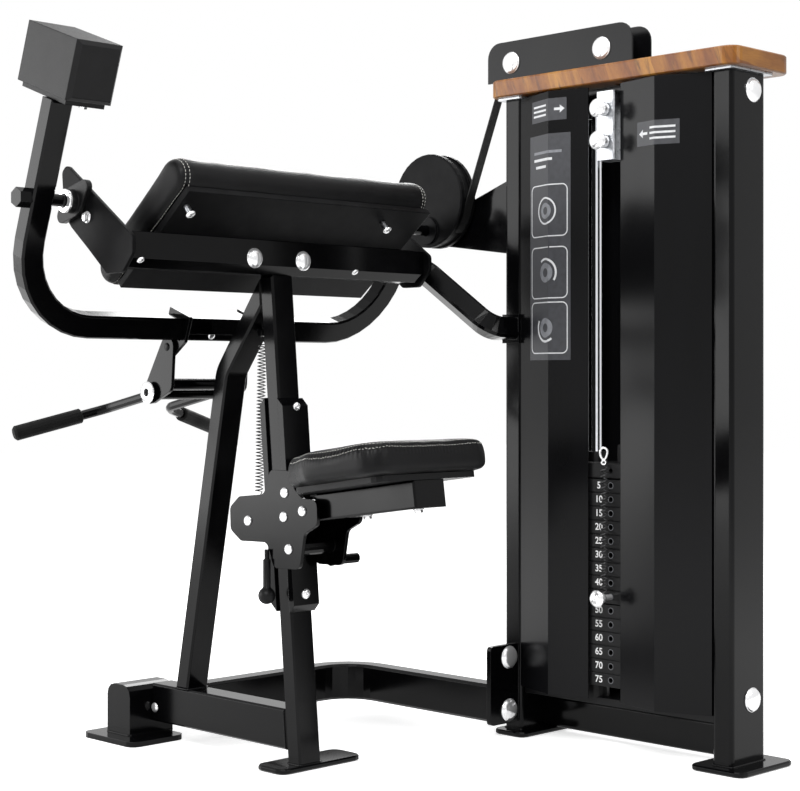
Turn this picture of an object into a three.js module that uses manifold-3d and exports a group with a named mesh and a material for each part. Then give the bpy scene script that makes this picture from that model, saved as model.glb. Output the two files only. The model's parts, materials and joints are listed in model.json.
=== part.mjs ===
// Seated biceps curl machine with a sloping arm pad and a shrouded weight stack.
// Millimetres, +Z up. X runs from the user's side to the weight tower, Y is the way the user faces.
// Places are measured from the outer bottom corner of the tower's near post. At the end the whole
// machine is moved so that the middle of its footprint is at the origin.

import * as THREE from "three";
import { mergeVertices } from "three/addons/utils/BufferGeometryUtils.js";
import Module from "manifold-3d";

const wasm = await Module();
wasm.setup();

// Sizes shared by the whole machine
const clearance = 0.3; // between two pieces that seat on each other
const overrun = 4; // how far a cutting body passes the face it cuts
const plateThick = 8;
const footThick = 12;
const full = Math.PI * 2;
const quarter = Math.PI / 2;
const roundSides = 16;
const fineSides = 18;
const cornerSteps = 3;
const bendSteps = 6;
const cornerShare = 0.49; // share of an edge that one corner's rounding may take
const bendShare = 0.95;
const kneeSteps = 5;
const bevelSteps = 1;
const holeSides = 8;
const boreSides = 12;
const wheelSides = 24;
const camSides = 36;
const domeShare = 0.7; // share of a knob's radius where its dome turns over
const joinWithin = 1e-4; // points nearer than this are one point
const samePlace = 0.01;

// Weight tower
const tower = {
  postDepth: 120, postThick: 50, postCorner: 8, span: 577, postTop: 1455,
  baseFrom: 77, baseTo: 117, baseTop: 85, tieFrom: 14, tieTo: 100, tieBottom: 1405, tieTop: 1455,
  footFront: 30, footBack: 165, footRound: 20, footSide: 45, footInner: 40,
  farFootFrom: 30, farFootTo: 13,
};
const postFarY = tower.span;
const wood = { from: -30, to: 184, side: 25, rear: 653, thick: 40, corner: 30, seat: 5, ease: 3 };
const mountPlate = { reach: 14, side: 12, corner: 6 };
const woodBottom = tower.postTop + mountPlateTop();
function mountPlateTop() { return wood.seat + clearance; }
const woodTop = woodBottom + wood.thick;

// Lift belt and its pulleys
const belt = { planeX: 36, width: 24, thick: 3, endWrap: 0.42, wrapSteps: 4, room: 8 };
const pulley = {
  nearY: 344, farY: 608, axisRise: 41.7, groove: 36, flange: 40, grooveHalf: 13, flangeHalf: 17,
  hub: 14, axle: 8, cap: 22, capRise: 9, capEase: 2, crownShare: 0.6,
};
const guard = { before: 84, behind: 72, cover: 50, corner: 35, thick: 4, nearX: 1, farX: 67 };
const pulleyZ = woodTop + pulley.axisRise;
const beltRadius = pulley.groove + clearance + belt.thick / 2;
const stackY = pulley.nearY - beltRadius;

// Weight stack
const stack = {
  front: -14, back: 86, half: 140, plateThick: 30, pitch: 30.3, plateCount: 15, liftedCount: 9, groove: 2,
  bottom: 143, tiePlate: 16, tieBottom: 96, rodHalfSpan: 78, rod: 12, rodBore: 13.5,
  bossRadius: 28, headThick: 34, corner: 6, stem: 12, stemBore: 14, pinBore: 5.5, chamfer: 2,
  collarRise: 22, clevisHalf: 16, clevisRise: 40, clevisDepth: 9,
};
const pin = { radius: 4.6, knob: 13, neck: 7, knobFront: -62, reach: 12, ease: 2 };
const coil = { tube: 1.5, radius: 6.5, curls: 22, sides: 5, steps: 8, tail: 1, standOff: 12 };
const adder = {
  front: -34, halfWidth: 25, drop: 15, tall: 150, inset: 40, stem: 6, knob: 15,
  knobFront: -62, corner: 4, seat: 24, knobEase: 4, knobFace: 3, knobDeep: 11,
};
const shroud = {
  bottom: 113, thick: 2, creaseX: -42, creaseFar: 460, creaseNear: 167, slotFar: 365,
  slotNear: 273, slotX: -20, flange: 9, lip: 3,
};
const lug = { from: -95, thick: 12, bottom: 31, top: 210, corner: 10 };

// User frame
const tube = { half: 30, deep: 40, corner: 4, bottom: 39, top: 124 };
const postFront = { bottomY: 650, bottomZ: 61, topY: 731, topZ: 982 };
const postRear = { frontY: 1022.9, kneeY: 883.9, kneeZ: 830, headZ: 1000, bend: 60 };
const baseTube = { rear: 1151 };
const curved = { centreX: -67, half: 25, railY: 1080, bend: 100, corner: 6 };
const footFront = { left: 84, right: 146, fromY: 640, toY: 730, corner: 22 };
const footRear = {
  left: 134, right: 16, fromY: 1084, toY: 1275, boxLeft: 91, boxRight: 30, boxRear: 1236,
  round: 26, corner: 22,
};
const strip = { half: 35.5, thick: 16, bottom: 327, top: 775, taper: 16 };
const beam = {
  half: 410, faceY: 716, faceZ: 1052, leftY: 736, rightY: 784, underZ: 1034, rear: 800, ease: 2,
};
const pivot = { y: 885, z: 1172, shaft: 12.5, bore: 12.8, boss: 32, capRadius: 20, capLong: 26 };
// The bracket's outline: points measured from the beam's front corner, then from the pivot.
const bracket = {
  thick: 8, round: 12, fromBeam: [[-16, 42], [-16, 8], [18, -28], [69, -28]],
  fromPivot: [[-39, -97], [20, -50], [45, -22], [53, 64], [37, 78], [-128, -38]],
};
const flange = { thick: 12, boss: 14, boltAt: 46, boltRound: 15, insert: 24, turn: -0.62 };
const neck = {
  startY: 775, startZ: 1073, kneeX: -128, dropX: -78, endX: -8.3, endY: 602, endZ: 930,
  half: 24, corner: 6, bend: 60, endBend: 40, plateHalf: 25, plateThick: 8, steps: 6,
};
const camSupport = { fromX: 66, thick: 5, above: 118, below: 62, lobe: 34, corner: 6 };

// Arm pad in its own frame: along the slope, and out of its upper face
const pad = {
  topY: 695, topZ: 1240, slope: 0.679, from: -45, to: 305, thick: 77, round: 37, leftRoom: 49,
  rightRoom: 57, crown: 5, drawn: 13, points: 6,
};
const board = { from: -18, to: 268, thick: 14, leftInset: 22, rightInset: 17 };

// Yoke that the arms turn about the pivot
const yoke = {
  lean: 0.3473, sideRoom: 41.4, towerRoom: 50, inPlane: 25, deep: 20, drop: 259.5, rise: 201,
  rightRise: 40, bend: 175, corner: 4, bendSteps: 9,
};
const bearingReach = 2 * clearance + bracket.thick + flange.thick + flange.boss;
const yokeHalf = beam.half + bearingReach + yoke.sideRoom + yoke.inPlane;
const centreX = -(yokeHalf + yoke.inPlane + yoke.towerRoom); // middle of the user's side
const weight = { wide: 107, fromM: -68, toM: 121, seat: 10, high: 120, ease: 8 };
const saddle = {
  left: 97, right: 101, thick: 8, skin: 6, halfM: 34, pinM: 8, pinS: 308, lobe: 22, pin: 9,
  front: 30, head: 12, plateRound: 3,
};
const fork = { thick: 8, tieY: 1000, tieZ: 803, tieLobe: 19, tie: 13, hubLobe: 25, bore: 10.3 };
const hub = { y: 1055, z: 785, tube: 16, pin: 10, cap: 18, capLong: 7, capEase: 3, sink: 2 };
const handle = {
  neckHalf: 84, kneeHalf: 86, kneeY: 1246, kneeZ: 747, endHalf: 284, endY: 1310, endZ: 694,
  radius: 11, bend: 40, sides: 10,
};
const grip = {
  outer: 17, bore: 11.3, floor: 9, lip: 2.5, dome: 7, nose: 2, long: 214, inset: 12,
};

// Cam
const cam = {
  y: 886, z: 1244, groove: 108, flange: 113, from: 10, to: 61, web: 6, hubRound: 34, ease: 3,
};

// Seat in its own frame: origin at the back of the arm, sloping down to the front
const seat = {
  y: 303, z: 619, slope: 0.1396, armHalf: 44, armDeep: 55, armLong: 304, armCorner: 7,
  boardThick: 12, boardFrom: -6, boardTo: 284, boardRear: 140, boardFront: 78, boardCorner: 24,
  padFrom: -27, padTo: 312, padRear: 175, padFront: 100, padThick: 62, padCorner: 46, waist: 235,
  crown: 7, drawn: 9, cornerSteps: 4,
};
const carriage = {
  half: 56, thick: 8, round: 15, rearY: 777, rearZ: 517, upY: 659, upZ: 581, lowY: 650, lowZ: 466,
  frontY: 604, frontZ: 547, anchorY: 812, anchorZ: 548, small: 9, slack: 0.6,
};
// The clover plate's outline: its lobes as points measured from the bolt that each goes round.
const clover = {
  front: [[-46, 23], [-48, -29], [-8, -49]],
  low: [[-40, -42], [40, -44], [62, 8]],
  rear: [[19, -45], [53, -23], [55, 25], [25, 49], [-55, 57]],
  up: [[43, 45], [-21, 45], [-33, 7]],
  notch: [[-2, 23]],
};
const spring = {
  topY: 801, topZ: 905, radius: 8.5, wire: 1.2, curls: 43, steps: 8, sides: 5, tail: 14,
  lug: 7, lugLong: 14,
};
const lever = {
  thick: 6, pivotY: 690, pivotZ: 452, handY: 655, handZ: 432, round: 13, hand: 11,
  long: 76, sink: 2, tieY: 700, tieZ: 492,
};
const knob = { y: 706, top: 424, rod: 5, ball: 13, ballZ: 364, inside: 36 };

const model = new THREE.Group();
model.name = "biceps_curl_machine";

const finishes = {
  gloss: { color: 0x0c0c0d, roughness: 0.22, metalness: 0.35 },
  satin: { color: 0x1b1b1d, roughness: 0.45, metalness: 0.4 },
  chrome: { color: 0xd8dadd, roughness: 0.14, metalness: 1 },
  steel: { color: 0x8a8c8e, roughness: 0.4, metalness: 0.9 },
  iron: { color: 0x141415, roughness: 0.6, metalness: 0.3 },
  vinyl: { color: 0x101011, roughness: 0.55, metalness: 0 },
  rubber: { color: 0x0d0d0d, roughness: 0.75, metalness: 0 },
  plastic: { color: 0x161617, roughness: 0.5, metalness: 0 },
  wood: { color: 0x9a5a2b, roughness: 0.5, metalness: 0 },
};

// Joins doubled points, drops the slivers that this leaves and turns the skin to face outwards.
function tidy(geometry) {
  geometry.deleteAttribute("normal");
  geometry.deleteAttribute("uv");
  const merged = mergeVertices(geometry, joinWithin);
  const place = merged.attributes.position;
  const source = merged.index.array;
  const kept = [];
  let volume = 0;
  const [a, b, c] = [new THREE.Vector3(), new THREE.Vector3(), new THREE.Vector3()];
  for (let i = 0; i < source.length; i += 3) {
    const [p, q, r] = [source[i], source[i + 1], source[i + 2]];
    if (p === q || q === r || r === p) continue;
    kept.push(p, q, r);
    a.fromBufferAttribute(place, p);
    b.fromBufferAttribute(place, q);
    c.fromBufferAttribute(place, r);
    volume += a.dot(b.cross(c));
  }
  if (volume < 0) {
    for (let i = 0; i < kept.length; i += 3) [kept[i], kept[i + 1]] = [kept[i + 1], kept[i]];
  }
  merged.setIndex(kept);
  return merged;
}

function toSolid(geometry) {
  const clean = tidy(geometry);
  return new wasm.Manifold(new wasm.Mesh({
    numProp: 3,
    vertProperties: new Float32Array(clean.attributes.position.array),
    triVerts: new Uint32Array(clean.index.array),
  }));
}

function fromSolid(solid) {
  const mesh = solid.getMesh();
  const geometry = new THREE.BufferGeometry();
  geometry.setAttribute("position", new THREE.BufferAttribute(new Float32Array(mesh.vertProperties), 3));
  geometry.setIndex(new THREE.BufferAttribute(new Uint32Array(mesh.triVerts), 1));
  return geometry;
}

// Adds every piece in the first list together and cuts every piece in the second list away.
function weld(pieces, cuts = []) {
  let solid = toSolid(pieces[0]);
  for (const piece of pieces.slice(1)) solid = solid.add(toSolid(piece));
  for (const cut of cuts) solid = solid.subtract(toSolid(cut));
  return fromSolid(solid);
}

function addPart(name, finish, geometry) {
  const shape = tidy(geometry);
  shape.computeVertexNormals();
  const material = new THREE.MeshStandardMaterial({ ...finishes[finish], flatShading: true });
  material.name = finish;
  const mesh = new THREE.Mesh(shape, material);
  mesh.name = name;
  model.add(mesh);
  return mesh;
}

// A closed outline whose corners are rounded by up to the given radius.
function rounded(points, radius, steps = cornerSteps) {
  const out = [];
  const count = points.length;
  points.forEach((point, i) => {
    const before = new THREE.Vector2(...points[(i + count - 1) % count]);
    const after = new THREE.Vector2(...points[(i + 1) % count]);
    const corner = new THREE.Vector2(...point);
    out.push(...fillet(corner, before, after, radius, steps, cornerShare));
  });
  return out.map((p) => [p.x, p.y]);
}

// The arc that rounds one corner, as points, in two or three dimensions.
function fillet(corner, before, after, radius, steps, reachShare) {
  const inward = before.clone().sub(corner);
  const outward = after.clone().sub(corner);
  const room = Math.min(inward.length(), outward.length()) * reachShare;
  inward.normalize();
  outward.normalize();
  const half = Math.acos(THREE.MathUtils.clamp(inward.dot(outward), -1, 1)) / 2;
  if (radius <= 0 || half > quarter - samePlace) return [corner];
  const back = Math.min(radius / Math.tan(half), room);
  const used = back * Math.tan(half);
  const toCentre = inward.clone().add(outward).normalize().multiplyScalar(used / Math.sin(half));
  const centre = corner.clone().add(toCentre);
  const start = corner.clone().addScaledVector(inward, back).sub(centre);
  const end = corner.clone().addScaledVector(outward, back).sub(centre);
  const sweep = Math.PI - 2 * half;
  const out = [];
  for (let i = 0; i <= steps; i++) {
    const t = i / steps;
    const p = start.clone().multiplyScalar(Math.sin((1 - t) * sweep));
    p.addScaledVector(end, Math.sin(t * sweep)).multiplyScalar(1 / Math.sin(sweep)).add(centre);
    out.push(p);
  }
  return out;
}

// A line of points in space with its inner corners bent to the given radii.
function bentPath(points, radii, steps = bendSteps) {
  const path = points.map((p) => new THREE.Vector3(...p));
  const out = [path[0]];
  for (let i = 1; i < path.length - 1; i++) {
    out.push(...fillet(path[i], path[i - 1], path[i + 1], radii[i - 1], steps, bendShare));
  }
  out.push(path[path.length - 1]);
  return out;
}

function circle(y, z, radius, sides = roundSides) {
  const points = [];
  for (let i = 0; i < sides; i++) {
    const turn = (full * i) / sides;
    points.push([y + radius * Math.cos(turn), z + radius * Math.sin(turn)]);
  }
  return points;
}

function rectangle(fromA, toA, fromB, toB) {
  return [[fromA, fromB], [toA, fromB], [toA, toB], [fromA, toB]];
}

// A standing plate whose two upper corners are rounded.
function roundTopped(from, to, low, high, radius, steps = cornerSteps) {
  const [lowFrom, lowTo] = [new THREE.Vector2(from, low), new THREE.Vector2(to, low)];
  const [highFrom, highTo] = [new THREE.Vector2(from, high), new THREE.Vector2(to, high)];
  return [
    lowFrom, lowTo, ...fillet(highTo, lowTo, highFrom, radius, steps, cornerShare),
    ...fillet(highFrom, highTo, lowFrom, radius, steps, cornerShare),
  ].map((p) => p.toArray());
}

// The tight band round a set of circles, each given as place, place, radius.
function band(circles, sides = roundSides) {
  const points = circles.flatMap(([a, b, r]) => circle(a, b, r, sides));
  points.sort((p, q) => p[0] - q[0] || p[1] - q[1]);
  const turn = (o, p, q) => (p[0] - o[0]) * (q[1] - o[1]) - (p[1] - o[1]) * (q[0] - o[0]);
  const walk = (list) => {
    const chain = [];
    for (const point of list) {
      const least = joinWithin * samePlace;
      while (chain.length > 1 && turn(chain.at(-2), chain.at(-1), point) <= least) chain.pop();
      chain.push(point);
    }
    chain.pop();
    return chain;
  };
  return [...walk(points), ...walk([...points].reverse())];
}

// Turns an axis name into the matrix that carries a shape drawn in two axes onto them.
function facing(axis) {
  const turn = new THREE.Matrix4();
  if (axis === "x") turn.set(0, 0, 1, 0, 1, 0, 0, 0, 0, 1, 0, 0, 0, 0, 0, 1);
  if (axis === "y") turn.set(0, 1, 0, 0, 0, 0, 1, 0, 1, 0, 0, 0, 0, 0, 0, 1);
  return turn;
}

// A plate or bar: an outline carried along one axis. Along x the outline is drawn in y and z,
// along z in x and y, and along y in x and z. Eased edges are bevelled by the last value.
function prism(axis, outline, from, to, holes = [], ease = 0) {
  const flip = axis === "y";
  const toPoint = ([a, b]) => (flip ? new THREE.Vector2(b, a) : new THREE.Vector2(a, b));
  const shape = new THREE.Shape(outline.map(toPoint));
  shape.holes = holes.map((hole) => new THREE.Path(hole.map(toPoint)));
  const geometry = new THREE.ExtrudeGeometry(shape, {
    depth: to - from - 2 * ease, steps: 1, bevelEnabled: ease > 0, bevelSegments: 1,
    bevelSize: ease, bevelThickness: ease, bevelOffset: -ease,
  });
  geometry.translate(0, 0, from + ease);
  return geometry.applyMatrix4(facing(axis));
}

// A body turned about an axis. The profile lists radius and place along the axis.
function turned(axis, centre, profile, sides = roundSides) {
  const geometry = new THREE.LatheGeometry(profile.map(([r, h]) => new THREE.Vector2(r, h)), sides);
  if (axis === "x") geometry.rotateZ(-quarter);
  if (axis === "z") geometry.rotateX(quarter);
  return geometry.translate(...centre);
}

function rod(axis, centre, radius, from, to, sides = roundSides) {
  return turned(axis, centre, [[0, from], [radius, from], [radius, to], [0, to]], sides);
}

// A rod whose axis runs from one point in space to another.
function turnedAlong(start, end, profile, sides = roundSides) {
  const geometry = new THREE.LatheGeometry(profile.map(([r, h]) => new THREE.Vector2(r, h)), sides);
  const way = end.clone().sub(start).normalize();
  geometry.applyQuaternion(new THREE.Quaternion().setFromUnitVectors(new THREE.Vector3(0, 1, 0), way));
  return geometry.translate(start.x, start.y, start.z);
}

// Joins rings of points into one closed skin, with a flat face on both end rings.
function loft(rings) {
  const count = rings[0].length;
  const points = rings.flat();
  const index = [];
  for (let i = 0; i + 1 < rings.length; i++) {
    for (let j = 0; j < count; j++) {
      const a = i * count + j;
      const b = i * count + ((j + 1) % count);
      index.push(a, b, a + count, b, b + count, a + count);
    }
  }
  const capAt = (ring, start, reverse) => {
    const middle = ring.reduce((sum, p) => sum.add(p), new THREE.Vector3()).divideScalar(count);
    const at = points.push(middle) - 1;
    for (let j = 0; j < count; j++) {
      const [a, b] = [start + j, start + ((j + 1) % count)];
      index.push(...(reverse ? [at, b, a] : [at, a, b]));
    }
  };
  capAt(rings[0], 0, true);
  capAt(rings[rings.length - 1], (rings.length - 1) * count, false);
  const geometry = new THREE.BufferGeometry();
  const places = points.flatMap((p) => p.toArray());
  geometry.setAttribute("position", new THREE.Float32BufferAttribute(places, 3));
  geometry.setIndex(index);
  return geometry;
}

// Carries a section along a path. The side vector is carried with the path, so nothing twists.
function sweep(section, path, side) {
  const rings = [];
  const across = side.clone();
  path.forEach((point, i) => {
    const next = path[Math.min(i + 1, path.length - 1)];
    const ahead = next.clone().sub(path[Math.max(i - 1, 0)]).normalize();
    across.addScaledVector(ahead, -across.dot(ahead)).normalize();
    const up = new THREE.Vector3().crossVectors(ahead, across);
    const ring = section.map(([a, b]) => point.clone().addScaledVector(across, a).addScaledVector(up, b));
    rings.push(ring);
  });
  return loft(rings);
}

// A flat bar bent in one plane: its middle line given in two axes, its width, and the direction
// of the cut at each end.
function stripOutline(line, width, startCut, endCut) {
  const points = line.map((p) => new THREE.Vector2(...p));
  const sides = [[], []];
  points.forEach((point, i) => {
    const before = i > 0 ? point.clone().sub(points[i - 1]).normalize() : null;
    const after = i + 1 < points.length ? points[i + 1].clone().sub(point).normalize() : null;
    const way = (before ?? after).clone();
    const normal = new THREE.Vector2(-way.y, way.x);
    let cut = null;
    if (!before) cut = startCut;
    else if (!after) cut = endCut;
    else cut = normal.clone().add(new THREE.Vector2(-after.y, after.x)).normalize().toArray();
    const across = new THREE.Vector2(...cut);
    const reach = width / 2 / across.dot(normal);
    sides[0].push(point.clone().addScaledVector(across, reach).toArray());
    sides[1].push(point.clone().addScaledVector(across, -reach).toArray());
  });
  return [...sides[0], ...sides[1].reverse()];
}

// The least gap between the turns of a wound tube, measured from points on its centre line.
function leastGap(path, radius, skip) {
  let least = Infinity;
  for (let i = 0; i < path.length; i++) {
    for (let j = i + skip; j < path.length; j++) least = Math.min(least, path[i].distanceTo(path[j]));
  }
  return least - 2 * radius;
}

// A wound wire between two points, whose last stretch at each end runs straight on the axis.
function woundPath(start, end, winding) {
  const along = end.clone().sub(start);
  const length = along.length();
  along.normalize();
  const side = new THREE.Vector3(1, 0, 0);
  const up = new THREE.Vector3().crossVectors(along, side);
  const path = [start.clone()];
  const steps = winding.curls * winding.steps;
  const wound = length - 2 * winding.tail;
  for (let i = 0; i <= steps; i++) {
    const turn = (full * i) / winding.steps;
    const point = start.clone().addScaledVector(along, winding.tail + (wound * i) / steps);
    point.addScaledVector(side, winding.radius * Math.cos(turn));
    point.addScaledVector(up, winding.radius * Math.sin(turn));
    path.push(point);
  }
  path.push(end.clone());
  return path;
}

function buildTower() {
  const postOutline = (nearY) => rounded(
    rectangle(0, tower.postDepth, nearY, nearY + tower.postThick), tower.postCorner);
  const postBottom = footThick + clearance;
  const post = (nearY) => prism("z", postOutline(nearY), footThick - overrun, tower.postTop);

  const nearFoot = rounded(rectangle(
    -tower.footFront, tower.footBack, -tower.footSide,
    tower.postThick + tower.footInner), tower.footRound);
  addPart("tower_post_near", "gloss", weld([prism("z", nearFoot, 0, footThick, [], footEase()), post(0)]));
  const farFoot = rounded(rectangle(
    -tower.footFront, tower.footBack, postFarY - tower.farFootFrom,
    postFarY + tower.postThick + tower.farFootTo), tower.footRound);
  const lugPlate = prism("y", rounded(rectangle(lug.from, overrun, lug.bottom, lug.top), lug.corner),
    postFarY + tower.postCorner, postFarY + tower.postCorner + lug.thick);
  addPart("tower_post_far", "gloss", weld([
    prism("z", farFoot, 0, footThick, [], footEase()), post(postFarY), lugPlate,
  ]));

  const insideFrom = tower.postThick + clearance;
  const insideTo = postFarY - clearance;
  const base = rounded(rectangle(
    tower.baseFrom, tower.baseTo, postBottom, tower.baseTop), tower.postCorner);
  addPart("tower_base_tube", "gloss", prism("y", base, insideFrom, insideTo));

  const tie = rectangle(tower.tieFrom, tower.tieTo, insideFrom, insideTo);
  const slotHalf = belt.width / 2 + belt.room;
  const beltSlot = rectangle(
    belt.planeX - slotHalf, belt.planeX + slotHalf, stackY - belt.room, stackY + belt.room);
  addPart("tower_top_tube", "gloss", prism("z", tie, tower.tieBottom, tower.tieTop, [beltSlot]));

  for (const [name, nearY] of [["near", 0], ["far", postFarY]]) {
    const outline = rounded(rectangle(
      -mountPlate.reach, tower.postDepth + mountPlate.reach, nearY - mountPlate.side,
      nearY + tower.postThick + mountPlate.side), mountPlate.corner);
    const bottom = tower.postTop + clearance;
    addPart(`wood_mount_plate_${name}`, "steel",
      prism("z", outline, bottom, bottom + wood.seat - clearance));
  }
  const top = rounded(rectangle(wood.from, wood.to, -wood.side, wood.rear), wood.corner, bendSteps);
  addPart("wood_top", "wood", prism("z", top, woodBottom, woodTop, [beltSlot], wood.ease));
}

function footEase() { return footThick / 4; }

// A folded sheet panel that runs from a post's inner face round the crease to the slot.
function buildShroud() {
  const panel = (name, edgeY, creaseY, slotY, way) => {
    const line = [
      [shroud.flange, edgeY], [0, edgeY], [shroud.creaseX, creaseY], [shroud.slotX, slotY],
      [shroud.slotX + shroud.lip, slotY + way],
    ];
    const outline = stripOutline(line, shroud.thick, [0, 1], [1, 0]);
    addPart(name, "satin", prism("z", outline, shroud.bottom, tower.postTop));
  };
  const inset = clearance + shroud.thick / 2;
  const lipOut = shroud.lip / 2;
  panel("shroud_panel_left", postFarY - inset, shroud.creaseFar, shroud.slotFar, lipOut);
  panel("shroud_panel_right", tower.postThick + inset, shroud.creaseNear, shroud.slotNear, -lipOut);
}

function buildStack() {
  const rodPlaces = [stackY - stack.rodHalfSpan, stackY + stack.rodHalfSpan];
  const plateX = belt.planeX;
  const tieTop = stack.tieBottom + stack.tiePlate;
  const insideFrom = tower.postThick + clearance;
  const insideTo = postFarY - clearance;
  const tie = prism("z", rectangle(
    tower.tieFrom, tower.tieTo, insideFrom, insideTo), stack.tieBottom, tieTop);
  const bosses = rodPlaces.map((y) => rod(
    "z", [plateX, y, 0], stack.bossRadius, tieTop - overrun, stack.bottom));
  const sockets = rodPlaces.map((y) => rod(
    "z", [plateX, y, 0], stack.rod + clearance, tieTop, stack.bottom + overrun));
  addPart("stack_base", "iron", weld([tie, ...bosses], sockets));
  rodPlaces.forEach((y, i) => addPart(
    `guide_rod_${i === 0 ? "near" : "far"}`, "chrome",
    rod("z", [plateX, y, 0], stack.rod, tieTop + clearance, tower.tieBottom - clearance, roundSides)));

  // Cast plates. A groove between each two, and a hole on each front face for the pin.
  const outline = rounded(rectangle(
    stack.front, stack.back, stackY - stack.half, stackY + stack.half), stack.corner, bevelSteps);
  const waist = rounded(rectangle(
    stack.front + stack.groove, stack.back - stack.groove, stackY - stack.half + stack.groove,
    stackY + stack.half - stack.groove), stack.corner, bevelSteps);
  const bores = [
    ...rodPlaces.map((y) => [plateX, y, stack.rodBore]), [plateX, stackY, stack.stemBore],
  ];
  const plateBottom = (number) => stack.bottom + (stack.plateCount - number) * stack.pitch + clearance;
  const pinHole = (number) => rod(
    "x", [0, stackY, plateBottom(number) + stack.plateThick / 2], stack.pinBore,
    stack.front - overrun, plateX, holeSides);
  const block = (first, last) => {
    const low = plateBottom(last);
    const high = plateBottom(first) + stack.plateThick - stack.groove;
    const pieces = [prism("z", waist, low, high)];
    const cuts = bores.map(([x, y, radius]) => rod(
      "z", [x, y, 0], radius, low - overrun, high + overrun, boreSides));
    for (let number = first; number <= last; number++) {
      const from = plateBottom(number);
      pieces.push(prism("z", outline, from, from + stack.plateThick - stack.groove));
      cuts.push(pinHole(number));
    }
    return weld(pieces, cuts);
  };
  addPart("stack_plates_lifted", "iron", block(1, stack.liftedCount));
  addPart("stack_plates_resting", "iron", block(stack.liftedCount + 1, stack.plateCount));

  // Head plate with its guide bushings, its stem through the plates and the belt's clevis.
  const headBottom = plateBottom(1) + stack.plateThick + clearance;
  const headTop = headBottom + stack.headThick;
  const collarTop = headTop + stack.collarRise;
  const stemBottom = plateBottom(stack.liftedCount) - stack.groove;
  const head = prism("z", outline, headBottom, headTop, [], stack.chamfer);
  const bushings = rodPlaces.map((y) => rod(
    "z", [plateX, y, 0], stack.bossRadius - overrun, headTop - overrun, collarTop));
  const stem = rod("z", [plateX, stackY, 0], stack.stem, stemBottom, headBottom + overrun);
  const clevis = prism("x", rounded(rectangle(
    stackY - stack.clevisDepth, stackY + stack.clevisDepth, headTop - overrun, headTop + stack.clevisRise),
  stack.corner), plateX - stack.clevisHalf, plateX + stack.clevisHalf);
  const rodBores = rodPlaces.map((y) => rod(
    "z", [plateX, y, 0], stack.rod + clearance, headBottom - overrun, collarTop + overrun));
  const pinZ = plateBottom(stack.liftedCount) + stack.plateThick / 2;
  const stemHole = rod("x", [0, stackY, pinZ], pin.radius + clearance,
    plateX - stack.stem - overrun, plateX + stack.stem + overrun, boreSides);
  const hole = rod("x", [0, stackY, headTop - stack.headThick / 2], stack.pinBore,
    stack.front - overrun, stack.front + stack.plateThick, boreSides);
  addPart("stack_head", "iron", weld([head, ...bushings, stem, clevis], [...rodBores, stemHole, hole]));

  addPart("selector_pin", "chrome", turned("x", [0, stackY, pinZ], [
    [0, pin.knobFront], [pin.neck, pin.knobFront + pin.ease],
    [pin.knob - pin.ease, pin.knobFront + pin.neck], [pin.knob, pin.knobFront + pin.knob],
    [pin.knob - pin.ease, pin.knobFront + 2 * pin.knob - pin.neck],
    [pin.neck, pin.knobFront + 2 * pin.knob], [pin.neck, stack.front - pin.ease],
    [pin.radius, stack.front - pin.ease], [pin.radius, plateX + pin.reach], [0, plateX + pin.reach],
  ], boreSides));

  // Curly cord from the head plate's front edge down to the pin's neck.
  const cordX = stack.front - coil.standOff;
  const cordY = stackY + pin.neck + coil.tube + clearance;
  const top = new THREE.Vector3(cordX, cordY, headTop - stack.corner);
  const low = new THREE.Vector3(cordX, cordY, pinZ);
  const path = woundPath(top, low, { ...coil, tail: coil.tube * 2 });
  path.unshift(new THREE.Vector3(stack.front - clearance - coil.tube, cordY, top.z));
  path.push(new THREE.Vector3(cordX, cordY, low.z - coil.tube * 2));
  addPart("pin_lanyard", "rubber", sweep(
    circle(0, 0, coil.tube, coil.sides), path, new THREE.Vector3(0, 1, 0)));
  console.log("lanyard least gap", leastGap(path, coil.tube, coil.steps - 1).toFixed(2));

  const adderTop = tower.tieTop - adder.drop;
  const adderBottom = adderTop - adder.tall;
  const adderUpper = adderTop - adder.inset;
  const adderLower = adderBottom + adder.inset;
  const adderBody = prism("z", rounded(rectangle(
    adder.front, tower.tieFrom - clearance, stackY - adder.halfWidth, stackY + adder.halfWidth),
  adder.corner), adderBottom, adderTop);
  const sleeves = [adderUpper, adderLower].map((z) => rod(
    "x", [0, stackY, z], adder.stem + clearance, adder.front - overrun, adder.seat - adder.corner));
  addPart("increment_housing", "satin", weld([adderBody], sleeves));
  [["upper", adderUpper], ["lower", adderLower]].forEach(([name, z]) => {
    const face = adder.front - clearance;
    const inner = face + adder.seat;
    addPart(`increment_knob_${name}`, "chrome", turned("x", [0, stackY, z], [
      [0, adder.knobFront], [adder.knob * domeShare, adder.knobFront + adder.knobFace],
      [adder.knob, adder.knobFront + adder.knobDeep], [adder.knob, face - adder.knobEase],
      [adder.knob - adder.knobEase, face], [adder.stem, face], [adder.stem, inner], [0, inner],
    ], roundSides));
  });
  return { headTop, pinZ };
}

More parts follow.
